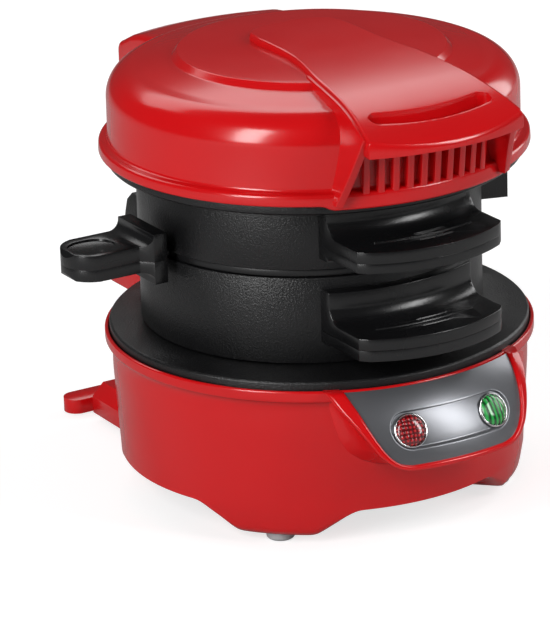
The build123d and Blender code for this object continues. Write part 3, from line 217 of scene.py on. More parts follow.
def capped_object(name, grid):
    """Closed solid from rings of points, one ring a row, with a flat face over the first and the last."""
    rows, columns = grid.shape[:2]
    faces = [list(f) for f in grid_faces(rows, columns, wrap_columns=True)]
    faces += [list(range(columns))[::-1], list(range((rows - 1) * columns, rows * columns))]
    return new_object(name, grid.reshape(-1, 3), faces)


def turned(name, profile, steps):
    """Surface turned about an upright axis: x = r cos a, y = r sin a, z = z."""
    a = np.linspace(0, 2 * pi, steps, endpoint=False)[:, None]
    r, z = profile[None, :, 0], profile[None, :, 1]
    return grid_object(name, np.stack([r * np.cos(a), r * np.sin(a), z + 0 * a], -1), wrap_rows=True)


def slab(name, outline, low, high, place, edge=0.5, steps=4):
    """Plate between two levels with rounded rims.

    outline is a closed (n, 2) path; the rims are rings of the outline drawn in along its inward
    normals by edge * (1 - cos) while the level moves by edge * (1 - sin). place maps (a, b, level).
    """
    after, before = np.roll(outline, -1, 0), np.roll(outline, 1, 0)
    along = after - before
    along /= np.linalg.norm(along, axis=1)[:, None] + 1e-12
    area = 0.5 * np.sum(outline[:, 0] * after[:, 1] - after[:, 0] * outline[:, 1])
    inward = np.stack([-along[:, 1], along[:, 0]], 1) * np.sign(area)
    t = np.linspace(0, pi / 2, steps + 1)
    rings = [(edge * (1 - np.sin(k)), low + edge * (1 - np.cos(k))) for k in t]
    rings += [(edge * (1 - np.cos(k)), high - edge * (1 - np.sin(k))) for k in t]
    grid = np.stack([place(*(outline + inward * d).T, level + 0 * outline[:, 0]) for d, level in rings])
    return capped_object(name, grid)


def plan(a, b, level):
    """Outline in plan, level upwards."""
    return np.stack([a, b, level], 1)


def side_view(a, b, level):
    """Outline in (Y, Z), level along X."""
    return np.stack([level, a, b], 1)


def join(objects, name):
    """One object from several."""
    bpy.ops.object.select_all(action="DESELECT")
    for obj in objects:
        obj.select_set(True)
    bpy.context.view_layer.objects.active = objects[0]
    if len(objects) > 1:
        bpy.ops.object.join()
    objects[0].name = name
    return objects[0]


def apply_modifiers(obj):
    """Replaces the mesh by its evaluated form."""
    depsgraph = bpy.context.evaluated_depsgraph_get()
    mesh = bpy.data.meshes.new_from_object(obj.evaluated_get(depsgraph), depsgraph=depsgraph)
    obj.modifiers.clear()
    obj.data = mesh


def soft_edges(obj, width, segments=2, angle=35.0):
    """Bevel on the edges that turn by more than an angle, applied."""
    bevel = obj.modifiers.new("Edges", "BEVEL")
    bevel.width = width * MM
    bevel.segments = segments
    bevel.limit_method = "ANGLE"
    bevel.angle_limit = radians(angle)
    bevel.use_clamp_overlap = True
    apply_modifiers(obj)
    sharpen(obj, 45)


def eased_copy(node, name, width):
    """Copy of a CAD node's mesh with merged points, flat faces joined and its edges eased."""
    obj = bpy.data.objects.new(name, frame["nodes"][node].data.copy())
    bpy.context.scene.collection.objects.link(obj)
    obj.data.materials.clear()
    bm = bmesh.new()
    bm.from_mesh(obj.data)
    bmesh.ops.remove_doubles(bm, verts=bm.verts, dist=3e-6)
    bmesh.ops.dissolve_limit(bm, angle_limit=radians(0.6), verts=bm.verts, edges=bm.edges)
    for face in bm.faces:
        face.smooth = True
    bm.to_mesh(obj.data)
    bm.free()
    soft_edges(obj, width)
    return obj


def finished(obj, body, slot, *nodes):
    """Gives a piece its body, its finish and the CAD nodes that it stands for."""
    obj.data.materials.clear()
    obj.data.materials.append(MATERIALS[slot])
    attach(obj, body)
    if nodes:
        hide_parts(*nodes)
    return obj


# ---------------------------------------------------------------- materials
MATERIALS = {}


def shader(name):
    """New material with its Principled shader and a coordinate node."""
    material = bpy.data.materials.new(name)
    material.use_nodes = True
    nodes = material.node_tree.nodes
    coordinates = nodes.new("ShaderNodeTexCoord")
    return material, nodes, material.node_tree.links, nodes["Principled BSDF"], coordinates


def noise(nodes, links, vector, scale, detail=3.0, rough=0.5):
    """Noise texture on a coordinate output."""
    texture = nodes.new("ShaderNodeTexNoise")
    texture.inputs["Scale"].default_value = scale
    texture.inputs["Detail"].default_value = detail
    texture.inputs["Roughness"].default_value = rough
    links.new(vector, texture.inputs["Vector"])
    return texture.outputs["Fac"]


def bump(nodes, links, bsdf, height, strength, distance):
    """Bump of a height onto the shader's normal."""
    node = nodes.new("ShaderNodeBump")
    node.inputs["Strength"].default_value = strength
    node.inputs["Distance"].default_value = distance
    links.new(height, node.inputs["Height"])
    links.new(node.outputs["Normal"], bsdf.inputs["Normal"])


def ramp(nodes, links, factor, stops):
    """Colour ramp from (position, grey or colour) stops."""
    node = nodes.new("ShaderNodeValToRGB")
    elements = node.color_ramp.elements
    while len(elements) < len(stops):
        elements.new(0.5)
    for element, (position, colour) in zip(elements, stops):
        element.position = position
        element.color = (*((colour,) * 3 if isinstance(colour, float) else colour), 1)
    links.new(factor, node.inputs["Fac"])
    return node.outputs["Color"]


def tinted(colour, factor):
    """A colour made lighter or darker."""
    return tuple(min(1.0, c * factor) for c in colour)


def grained(name, colour, roughness, spread, scale, depth, variation=0.12, coat=0.0, metallic=0.0,
            specular=0.5):
    """Moulded or cast finish: fine grain in the bump, soft blotches in colour and roughness."""
    material, nodes, links, bsdf, coordinates = shader(name)
    where = coordinates.outputs["Object"]
    blotch = noise(nodes, links, where, 28.0, 4.0)
    shades = [(0.3, tinted(colour, 1 - variation)), (0.7, tinted(colour, 1 + variation))]
    links.new(ramp(nodes, links, blotch, shades), bsdf.inputs["Base Color"])
    sheen = noise(nodes, links, where, 60.0, 3.0)
    glosses = [(0.3, roughness - spread), (0.7, roughness + spread)]
    links.new(ramp(nodes, links, sheen, glosses), bsdf.inputs["Roughness"])
    grain = noise(nodes, links, where, scale, 2.0, 0.6)
    bump(nodes, links, bsdf, grain, 0.6, depth)
    bsdf.inputs["Metallic"].default_value = metallic
    bsdf.inputs["Specular IOR Level"].default_value = specular
    bsdf.inputs["Coat Weight"].default_value = coat
    bsdf.inputs["Coat Roughness"].default_value = 0.12
    return material


def lens_plastic(name, colour, painted_shade, pattern):
    """Clear tinted lens over a moulded diffuser of dots or ribs, on the piece's own UV map; painted highlights
    on the dots and ribs, painted shade between them.
    """
    material, nodes, links, bsdf, coordinates = shader(name)
    where = coordinates.outputs["UV"]
    if pattern == "dots":
        cells = nodes.new("ShaderNodeTexVoronoi")
        cells.inputs["Scale"].default_value = 7.0
        cells.inputs["Randomness"].default_value = 0.15
        links.new(where, cells.inputs["Vector"])
        height = ramp(nodes, links, cells.outputs["Distance"], [(0.15, 1.0), (0.5, 0.0)])
    else:
        bands = nodes.new("ShaderNodeTexWave")
        bands.inputs["Scale"].default_value = 1.8
        bands.bands_direction = "X"
        links.new(where, bands.inputs["Vector"])
        height = bands.outputs["Fac"]
    # The colour follows the relief: the lens colour is a painted highlight on the dots' centres and the ribs'
    # crests, and the darker colour is painted shade between them. The lens's own tint is even.
    links.new(ramp(nodes, links, height, [(0.2, painted_shade), (0.9, colour)]), bsdf.inputs["Base Color"])
    bump(nodes, links, bsdf, height, 0.5, 0.0004)
    bsdf.inputs["Roughness"].default_value = 0.22
    bsdf.inputs["Coat Weight"].default_value = 1.0
    bsdf.inputs["Coat Roughness"].default_value = 0.05
    bsdf.inputs["Specular IOR Level"].default_value = 0.6
    return material


class SANDWICH_OT_materials(bpy.types.Operator):
    """Make every finish and give the CAD nodes theirs"""
    bl_idname = "sandwich.materials"
    bl_label = "Finishes"

    def execute(self, context):
        finish = context.scene.sandwich_finish
        red, cast = tuple(finish.red), tuple(finish.cast)
        grip, panel = tuple(finish.grip), tuple(finish.panel)
        MATERIALS.update({
            "red_gloss": grained("moulded_red", red, 0.20, 0.02, 900.0, 0.000006, 0.03, coat=0.25,
                                 specular=0.45),
            "black_cast": grained("coated_cast", cast, 0.34, 0.06, 1900.0, 0.00030, 0.3),
            "nonstick": grained("coated_plate", cast, 0.36, 0.05, 1100.0, 0.00006, 0.2),
            "black_plastic": grained("heatproof_black", grip, 0.26, 0.04, 1500.0, 0.00005, 0.15,
                                     specular=0.6),
            "grey_panel": grained("metallic_grey", panel, 0.33, 0.03, 2200.0, 0.00001, 0.05, coat=0.1,
                                  metallic=0.75),
            "black_rubber": grained("black_rubber", (0.02, 0.02, 0.02), 0.7, 0.08, 700.0, 0.00006),
            "grey_rubber": grained("grey_rubber", (0.42, 0.42, 0.43), 0.6, 0.08, 700.0, 0.00006),
            "white_plastic": grained("ceramic_white", (0.78, 0.77, 0.73), 0.4, 0.05, 500.0, 0.00003),
            "steel": grained("plated_steel", (0.55, 0.55, 0.56), 0.3, 0.08, 800.0, 0.00003, 0.1,
                             metallic=1.0),
            "chrome_trim": grained("bright_trim", (0.75, 0.75, 0.76), 0.14, 0.04, 300.0, 0.000005, 0.04,
                                   metallic=1.0),
            "lamp_glass": grained("lamp_glass", (0.8, 0.45, 0.3), 0.15, 0.03, 300.0, 0.00001, 0.1, coat=0.5),
            # Each lens's second, darker colour is the painted shade between its dots or ribs.
            "red_lens": lens_plastic("red_lens", (0.55, 0.01, 0.015), (0.10, 0.0, 0.002), "dots"),
            "green_lens": lens_plastic("green_lens", (0.02, 0.42, 0.07), (0.0, 0.07, 0.01), "ribs"),
        })
        for node, obj in frame["nodes"].items():
            obj.data.materials.clear()
            obj.data.materials.append(MATERIALS[NODE_SLOT[node]])
        return {"FINISHED"}


# ---------------------------------------------------------------- lid
LID_LOW = in_mm(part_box("lid_liner")[0].z)
BEAD_LOW = LID_LOW + 3.2
BEAD_HIGH = BEAD_LOW + 3.5
SHOULDER_Z = LID_LOW + 19.7
STRAP_TOP = in_mm(HANDLE_BOX[1].z)
DOME_TOP = STRAP_TOP - 1.8
HOLLOW_TOP = STRAP_TOP - 3.9
DISC_TOP = STRAP_TOP - 1.9
DISC_RIM_Z = STRAP_TOP - 3.6
DISC_SLOPE = 1.7
STRAP_NOSE_Y = -48.0
STRAP_MID_Y = 5.0
GRIP_UNDER = STRAP_TOP - 15.0
SHELL = 2.2
SKIRT_HALF = 28.0


def cap_z(r, edge_r, edge_z, top_z):
    """Height of a shallow spherical cap at radius r."""
    drop = top_z - edge_z
    radius = (edge_r ** 2 + drop ** 2) / (2 * drop)
    return top_z - radius + np.sqrt(radius ** 2 - np.asarray(r) ** 2)


def lid_top_z(r, sizes):
    """Height of the lid's outer skin at radius r: crown disc, shallow dome, then the shoulder's arc."""
    inner = sizes.wall - sizes.shoulder
    r = np.asarray(r, float)
    dome = cap_z(np.minimum(r, inner), inner, SHOULDER_Z + sizes.shoulder, DOME_TOP)
    disc = cap_z(np.minimum(r, sizes.disc), sizes.disc, DISC_RIM_Z, DISC_TOP)
    over = np.clip(r - inner, 0, sizes.shoulder)
    side = SHOULDER_Z + np.sqrt(np.maximum(sizes.shoulder ** 2 - over ** 2, 0))
    return np.where(r < sizes.disc, disc, np.where(r <= inner, dome, side))


def strap_z(y, sizes):
    """Height of the strap's top along its length: a long arc that meets a tighter one at the nose."""
    share = sizes.nose_bend / sizes.strap_bend
    fall, turn = STRAP_TOP - sizes.strap_bend, STRAP_NOSE_Y - STRAP_MID_Y
    turn_z = fall + sqrt(sizes.strap_bend ** 2 - turn ** 2)
    nose_y, nose_z = STRAP_NOSE_Y - turn * share, turn_z - (turn_z - fall) * share
    y = np.asarray(y, float)
    along = fall + np.sqrt(sizes.strap_bend ** 2 - (y - STRAP_MID_Y) ** 2)
    nose = nose_z + np.sqrt(np.maximum(sizes.nose_bend ** 2 - (y - nose_y) ** 2, 0))
    return np.where(y > STRAP_NOSE_Y, along, nose)


STRAP_STATIONS = [(-80.0, 27.2), (-72.0, 26.0), (-58.0, 23.3), (-33.0, 20.0), (-25.0, 18.0), (-15.0, 16.0),
                  (8.0, 15.6), (12.0, 14.4)]


def strap_half(y):
    """Half width of the strap, its stations joined smoothly by averaging over a few millimetres."""
    y = np.asarray(y, float)
    stations, widths = np.array(STRAP_STATIONS).T
    spread = np.linspace(-4, 4, 9)
    return np.mean([np.interp(y + d, stations, widths) for d in spread], axis=0)


class SANDWICH_OT_lid(bpy.types.Operator):
    """Domed red lid: crown disc, shoulder, wall, rim bead with a deeper front skirt, and rear block"""
    bl_idname = "sandwich.lid"
    bl_label = "Lid"

    skirt_drop = 1.3
    block_half = 25.5
    block_in = 50.0
    block_edge = 1.8
    block_corner = 2.6
    block_chamfer = 1.4
    block_low = BEAD_LOW + 0.6
    roof_r = (50.0, 58.0, 66.0, 71.0, 76.0, 81.0)
    roof_z = (132.3, 131.0, 129.8, 128.4, 125.9, 122.0)

    def rear_block(self, rear_y):
        """Rear block over x and a ring that runs back along the roof, round the rear edge and under.

        The roof's height falls with the distance from the lid's axis, so it carries the dome on. Near
        the sides the ring draws in by d = edge - sqrt(edge^2 - beyond^2), a quarter circle.
        """
        edge, corner = self.block_edge, self.block_corner
        t = np.linspace(0, pi / 2, 7)
        rim = edge * (1 - np.sin(t))
        flat = np.linspace(edge - self.block_half, self.block_half - edge, 30)[1:-1]
        x = np.r_[rim[::-1] - self.block_half, flat, self.block_half - rim][:, None]
        beyond = np.maximum(np.abs(x) - (self.block_half - edge), 0)
        d = edge - np.sqrt(np.maximum(edge ** 2 - beyond ** 2, 0))
        back, low = rear_y - d, self.block_low + d
        roof_y = self.block_in + (back - corner - self.block_in) * np.linspace(0, 1, 24)
        roof = np.interp(np.hypot(x, roof_y), self.roof_r, self.roof_z) - d
        y = np.hstack([roof_y, roof_y[:, -1:] + corner * np.sin(t[1:]),
                       back, back - self.block_chamfer, self.block_in + 0 * d])
        z = np.hstack([roof, roof[:, -1:] + corner * (np.cos(t[1:]) - 1),
                       low + self.block_chamfer, low, low])
        block = capped_object("lid_rear_block", np.stack([x + 0 * y, y, z], -1))
        sharpen(block, 40)
        return block

    def execute(self, context):
        s = context.scene.sandwich_lid
        inner_r = s.wall - s.shoulder
        edge_z = SHOULDER_Z + s.shoulder
        r_disc = np.linspace(0, s.disc - 0.9, 30)
        disc = np.stack([r_disc, cap_z(r_disc, s.disc, DISC_RIM_Z, DISC_TOP)], 1)
        foot_r = s.disc + DISC_SLOPE
        step = rounded_path([
            (s.disc - 0.6, DISC_RIM_Z + 0.03), (s.disc, DISC_RIM_Z),
            (foot_r, cap_z(foot_r, inner_r, edge_z, DOME_TOP)),
            (foot_r + 1.2, cap_z(foot_r + 1.2, inner_r, edge_z, DOME_TOP))], [0, 0.5, 0.9, 0], 6)
        r_dome = np.linspace(foot_r + 1.6, inner_r - 0.6, 8)
        dome = np.stack([r_dome, cap_z(r_dome, inner_r, edge_z, DOME_TOP)], 1)
        shoulder = arc((inner_r, SHOULDER_Z), s.shoulder, 85, 0, 26)
        rim = rounded_path([
            (s.wall, SHOULDER_Z - 1), (s.wall + 0.1, BEAD_HIGH + 0.4), (s.bead - 0.2, BEAD_HIGH - 0.1),
            (s.bead, BEAD_LOW), (s.bead - SHELL, BEAD_LOW), (s.wall - SHELL, BEAD_HIGH + 1),
            (s.wall - SHELL, SHOULDER_Z)], [0, 0.9, 1.1, 0.7, 0.4, 1.0, 0], 6)
        back = arc((inner_r, SHOULDER_Z), s.shoulder - SHELL, 4, 90, 14)
        r_under = np.linspace(inner_r - 2, 0, 12)
        under = np.stack([r_under, cap_z(r_under, inner_r, edge_z - SHELL, HOLLOW_TOP)], 1)
        profile = np.vstack([disc, step, dome, shoulder[1:], rim, back, under])
        a = np.linspace(0, 2 * pi, 288, endpoint=False)[:, None]
        r, z = profile[None, :, 0], profile[None, :, 1]
        off_front = np.degrees(np.abs((a + pi / 2 + pi) % (2 * pi) - pi))
        near_front = 1 - smooth_step(SKIRT_HALF - 1.5, SKIRT_HALF + 1.5, off_front)
        drop = near_front * (1 - smooth_step(BEAD_LOW, BEAD_LOW + 2, z))
        z = z - self.skirt_drop * drop * (r > s.wall - 0.5)
        grid = np.stack([r * np.cos(a), r * np.sin(a), z], -1)
        skin = grid_object("lid_skin", grid, wrap_rows=True)
        finished(skin, "lid", "red_gloss", "lid_shell")
        block = self.rear_block(in_mm(LID_BOX[1].y))
        finished(block, "lid", "red_gloss")
        return {"FINISHED"}


class SANDWICH_OT_lid_handle(bpy.types.Operator):
    """Strap over the crown with its slotted grip, flank webs and upright ribs"""
    bl_idname = "sandwich.lid_handle"
    bl_label = "Lid handle"

    slot_half = 20.5
    slot_width = 5.4
    slot_y = -67.0
    edge = 0.8

    def strap(self, s):
        """Grid over (across, along): x = across * half width, z = long arc less the rounded rim.

        Both end lines are bowed: y runs from 17.5 - 6.5 across^4 to -78.5 + 5.1 across^2.
        """
        rim = 1 - (1 - np.linspace(0, 1, 9)) ** 2
        across = np.r_[-1 + 0.06 * rim, np.linspace(-0.94, 0.94, 47)[1:-1], (1 - 0.06 * rim)[::-1]][:, None]
        along = np.r_[0.012 * rim, np.linspace(0.012, 0.988, 110)[1:-1], 1 - 0.012 * rim[::-1]][None, :]
        front, rear = -78.5 + 5.1 * across ** 2, 17.5 - 6.5 * across ** 4
        y = rear + (front - rear) * along
        half = strap_half(y + 0 * across)
        x = across * half
        to_edge = np.minimum(np.minimum(half * (1 - np.abs(across)), y - front), rear - y)
        d = np.clip(self.edge - to_edge, 0, self.edge)
        top = strap_z(y, s) - (self.edge - np.sqrt(self.edge ** 2 - d ** 2))
        lid = lid_top_z(np.hypot(x, y), s) - 1.5
        bottom = np.where(np.hypot(x, y) < s.wall - 0.5, np.maximum(lid, GRIP_UNDER - 1.0), GRIP_UNDER - 1.0)
        bottom = np.minimum(bottom, top - 1.2)
        upper = np.stack([x, y, top], -1)
        lower = np.stack([x, y, bottom], -1)
        rows, columns = upper.shape[:2]
        faces = [*grid_faces(rows, columns), *grid_faces(rows, columns, start=rows * columns)[:, ::-1]]
        index = np.arange(rows * columns).reshape(rows, columns)
        border = np.r_[index[0, :], index[1:, -1], index[-1, -2::-1], index[-2:0:-1, 0]]
        nxt = np.roll(border, -1)
        shift = rows * columns
        faces += [(a, b, b + shift, a + shift) for a, b in zip(border, nxt)]
        return new_object("lid_strap", np.vstack([upper.reshape(-1, 3), lower.reshape(-1, 3)]), faces)

    def cut_slot(self, strap):
        """Bent obround hole through the grip: a circle swept along a shallow bow."""
        reach = self.slot_half - self.slot_width / 2
        x = np.linspace(-reach, reach, 41)
        spine = np.stack([x, self.slot_y + 3.0 * (x / self.slot_half) ** 2], 1)
        w = self.slot_width / 2
        ends = [arc(spine[-1], w, -80, 85, 10), arc(spine[0], w, 95, 260, 10)]
        outline = np.vstack([spine + [0, -w], ends[0], spine[::-1] + [0, w], ends[1]])
        cutter = slab("slot_cutter", outline, GRIP_UNDER - 8, STRAP_TOP + 4, plan, edge=0.01, steps=1)
        cut = strap.modifiers.new("Slot", "BOOLEAN")
        cut.operation = "DIFFERENCE"
        cut.solver = "EXACT"
        cut.object = cutter
        apply_modifiers(strap)
        bpy.data.objects.remove(cutter)
        soft_edges(strap, 0.7, 3, 50)

    def web(self, side, s):
        """Flank web: ruled surface over t along the strap's edge and v from there down to the rim.

        Its y and z run evenly with v, and its x with v - 0.1 sin(pi v), which makes the web hollow.
        """
        t = np.linspace(0, 1, 40)[:, None]
        v = np.linspace(0, 1, 30)[None, :, None]
        y_top = -30.0 - 41.5 * t
        top = np.stack([strap_half(y_top) - 0.3, y_top, strap_z(y_top, s) - 1.0], -1)
        foot = np.stack([26.0 + 2.9 * t, -50.0 - 10.8 * t, BEAD_LOW + 0.3 + 0 * t], -1)
        outer = top + (foot - top) * v
        outer[..., 0] = (top + (foot - top) * np.clip(v - 0.10 * np.sin(pi * v), 0, 1))[..., 0]
        outer = outer * [side, 1, 1]
        sheet = grid_object("web", outer)
        solid = sheet.modifiers.new("Wall", "SOLIDIFY")
        solid.thickness = 2.4 * MM
        solid.offset = 0.0
        apply_modifiers(sheet)
        soft_edges(sheet, 0.7, 3, 50)
        return sheet

    def execute(self, context):
        s = context.scene.sandwich_lid
        strap = self.strap(s)
        self.cut_slot(strap)
        finished(strap, "lid", "red_gloss", "lid_handle")
        webs = join([self.web(-1, s), self.web(1, s)], "lid_handle_webs")
        finished(webs, "lid", "red_gloss")
        ribs = []
        for i in range(s.ribs):
            angle = radians(270 + (i - (s.ribs - 1) / 2) * 4.0)
            outline = rounded_path([(s.wall - 1.5, BEAD_HIGH - 0.8), (s.bead - 0.3, BEAD_HIGH - 0.8),
                                    (s.bead + 1.4, GRIP_UNDER + 0.5), (s.wall - 1.5, GRIP_UNDER + 0.5)],
                                   [0, 0.6, 0.3, 0], 4, closed=True)

            def place(a, b, level, angle=angle):
                x, y = a * cos(angle) - level * sin(angle), a * sin(angle) + level * cos(angle)
                return np.stack([x, y, b], 1)
            ribs.append(slab("rib", outline, -1.1, 1.1, place, edge=0.6, steps=4))
        rib_set = join(ribs, "lid_handle_ribs")
        sharpen(rib_set, 50)
        finished(rib_set, "lid", "red_gloss")
        return {"FINISHED"}


# ---------------------------------------------------------------- base
BASE_TOP = round(in_mm(FLANGE_BOX[1].z) - 2.5, 2)
WALL_BEND_Z = BASE_TOP - 12.4
WALL_BOTTOM = 11.0
WALL_LEAN = 0.052
RIM_R = in_mm(FLANGE_BOX[1].x) + 1.5
RIM_IN = in_mm(FLANGE_BOX[1].x) + 0.3
LEDGE_Z = in_mm(FLANGE_BOX[0].z)
LEG_IN = 38.4
LEG_LEAN = 0.175
PANEL_IN = 15.6
PANEL_CENTRE_Z = BASE_TOP - 25.8
HOOD_STEPS = 161
FOOT_TOP = 3.0
HOOD_LIP = [(33.4, 50.6), (32.3, 46.9), (30.3, 43.4), (27.7, 38.5), (25.3, 34.2), (21.6, 30.4),
            (18.0, 29.1), (12.0, 28.7)]
HOOD_FOOT = [(34.0, 50.6), (32.0, 48.0), (31.0, 44.0), (30.0, 39.2), (28.6, 34.4), (26.4, 30.2), (22.5, 27.2),
             (17.0, 25.0), (10.0, 24.2)]
PANEL_EDGE = [(28.7, 51.4), (28.0, 47.9), (27.3, 45.4), (26.4, 41.9), (25.3, 38.8), (24.0, 36.0), (22.3, 33.4),
              (19.8, 31.2), (16.0, 30.4)]


def panel_r(z, s, proud=0.0):
    """Radius of the panel's turned surface at a height, moved outwards by proud."""
    return s.wall - PANEL_IN + np.sqrt(np.maximum((s.bulge + proud) ** 2 - (z - PANEL_CENTRE_Z) ** 2, 0))


def hood_line(right, count):
    """A line of the hood seen from the front, from the left tip round the bottom to the right tip."""
    right = np.array(right)
    whole = np.vstack([right * [-1, 1], right[::-1]])
    return resample(rounded_path(whole, 9.0, 8), count)


class SANDWICH_OT_base(bpy.types.Operator):
    """Red base: beaded rim, tapered wall and four splayed legs in one turned skin, and hinge cheeks"""
    bl_idname = "sandwich.base"
    bl_label = "Base"

    def execute(self, context):
        s = context.scene.sandwich_base
        a = np.linspace(0, 2 * pi, 480, endpoint=False)[:, None]
        leg_a = (a % (pi / 2)) - pi / 4

        def under_z(r):
            """Height of the underside: flat at the feet, sloping up both sides to the wall's edge."""
            across = np.abs(r * np.sin(leg_a))
            slope = (WALL_BOTTOM - FOOT_TOP) / (s.leg_top - s.leg_low)
            z = FOOT_TOP + (across - s.leg_low) * slope
            soft = 0.5
            z = FOOT_TOP + soft * np.log1p(np.exp((z - FOOT_TOP) / soft))
            return WALL_BOTTOM - soft * np.log1p(np.exp((WALL_BOTTOM - z) / soft)) + 0.02
        outer = rounded_path([
            (RIM_IN, LEDGE_Z), (RIM_IN, BASE_TOP), (RIM_R, BASE_TOP), (RIM_R, BASE_TOP - 3.3),
            (s.wall, BASE_TOP - 4.3), (s.wall, WALL_BEND_Z), (s.wall_low, WALL_BOTTOM + 1)],
            [0, 0.4, 0.8, 1.0, 1.2, 40, 0], 6)
        tail, wall_rings = 14, 20
        outer = np.vstack([outer[:-tail], resample(outer[-tail:], wall_rings)])
        columns = [np.stack([p[0] * np.cos(a), p[0] * np.sin(a), p[1] + 0 * a], -1) for p in outer]
        low_z = under_z(s.wall_low)
        for t in np.linspace(0, 1, 8)[1:]:                      # the skin runs on down into the legs
            z = (WALL_BOTTOM + 1) * (1 - t) + low_z * t
            r = s.wall_low - np.maximum(WALL_BOTTOM - z, 0) * LEG_LEAN - 0.9 * max(0.0, (t - 0.8) / 0.2) ** 2
            columns.append(np.stack([r * np.cos(a), r * np.sin(a), z], -1))
        for r in np.linspace(s.wall_low - 3.2, LEG_IN, 12):     # underside, inwards
            z = under_z(r) + np.where(under_z(r) > WALL_BOTTOM - 0.6, 0.5, 0)
            columns.append(np.stack([r * np.cos(a), r * np.sin(a), z], -1))
        inside = [(LEG_IN, WALL_BOTTOM + 2.5), (s.wall_low - SHELL, WALL_BOTTOM + 2.5),
                  (s.wall - SHELL, WALL_BEND_Z), (s.wall - SHELL, LEDGE_Z - 4),
                  (RIM_IN - 4, LEDGE_Z - 2), (RIM_IN - 4, LEDGE_Z)]
        columns += [np.stack([r * np.cos(a), r * np.sin(a), z + 0 * a], -1) for r, z in inside]
        grid = np.concatenate(columns, axis=1)
        body = grid_object("base_skin", grid, wrap_rows=True, wrap_columns=True)
        sharpen(body, 60)
        finished(body, "base", "red_gloss", "base_shell")
        cheeks = []
        axis_y, axis_z = RIM_R + 18.5, BASE_TOP - 0.4
        eye = arc((axis_y, axis_z), 7.0, -90, 90, 24)
        outline = np.vstack([eye, rounded_path([
            (axis_y - 1, axis_z + 7), (RIM_R + 1.5, axis_z + 7), (RIM_R - 3, BASE_TOP - 1),
            (s.wall - 5, BASE_TOP - 4), (s.wall - 5, axis_z - 7), (axis_y - 1, axis_z - 7)],
            [0, 2.5, 1, 1, 1, 0], 6)])
        for low, high in ((21.4, 26.4), (-26.4, -21.4)):
            cheeks.append(slab("cheek", outline, low, high, side_view, edge=0.8, steps=4))
        pair = join(cheeks, "base_cheeks")
        sharpen(pair, 50)
        finished(pair, "base", "red_gloss")
        return {"FINISHED"}


class SANDWICH_OT_hood(bpy.types.Operator):
    """Front hood: a closed section carried round the panel, from the wall over the lip to the seat"""
    bl_idname = "sandwich.hood"
    bl_label = "Front hood"

    def execute(self, context):
        s = context.scene.sandwich_base
        lip, foot, edge = (hood_line(line, HOOD_STEPS) for line in (HOOD_LIP, HOOD_FOOT, PANEL_EDGE))
        along = np.gradient(lip, axis=0)
        along /= np.linalg.norm(along, axis=1)[:, None]
        out = np.stack([along[:, 1], -along[:, 0]], 1)
        if out[HOOD_STEPS // 2, 1] > 0:
            out = -out
        sections = []

        def on_panel(share, proud):
            x, z = (lip + (edge - lip) * share).T
            y = -np.sqrt(panel_r(z, s, proud) ** 2 - x ** 2)
            return np.stack([x, y, z], 1)

        def on_wall(line, inside):
            x, z = line.T
            r = s.wall - inside - np.maximum(WALL_BEND_Z - z, 0) * WALL_LEAN
            return np.stack([x, -np.sqrt(r ** 2 - x ** 2), z], 1)
        crest, root = on_panel(0.0, 0.0), on_wall(foot, 0.8)
        for t in np.linspace(0, 1, 12)[:-1]:                    # flank, hollow towards the wall
            section = root + (crest - root) * t
            section[:, [0, 2]] -= out * 1.2 * sin(pi * t)
            sections.append(section)
        for t in np.linspace(0, pi / 2, 6):
            sections.append(on_panel(0.22 * (1 - cos(t)), s.lip * sin(t)))
        for t in np.linspace(0, pi / 2, 6):
            sections.append(on_panel(0.7 + 0.3 * sin(t), s.lip - 0.8 * (1 - cos(t))))
        sections.append(on_panel(1.02, -1.2))
        sections.append(on_panel(1.02, -2.6))
        sections.append(on_wall(edge, 2.0))
        sections.append(on_wall(foot, 2.0))
        grid = np.stack(sections, 1)
        grid[..., 2] = np.minimum(grid[..., 2], BASE_TOP)
        hood = capped_object("base_hood", grid)
        sharpen(hood, 60)
        finished(hood, "base", "red_gloss")
        return {"FINISHED"}


LENS_X = 14.4
LENS_RISE = 39.9
LENS_TILT = 29.0


def lens_frame(x, s):
    """Origin on the panel and the right, up and outward directions at a lens."""
    reach = float(panel_r(LENS_RISE, s))
    y = -sqrt(reach ** 2 - x ** 2)
    tilt = radians(LENS_TILT)
    out = np.array([x / reach * cos(tilt), y / reach * cos(tilt), sin(tilt)])
    right = np.array([-y, x, 0.0]) / reach
    return np.array([x, y, LENS_RISE]), right, np.cross(out, right), out


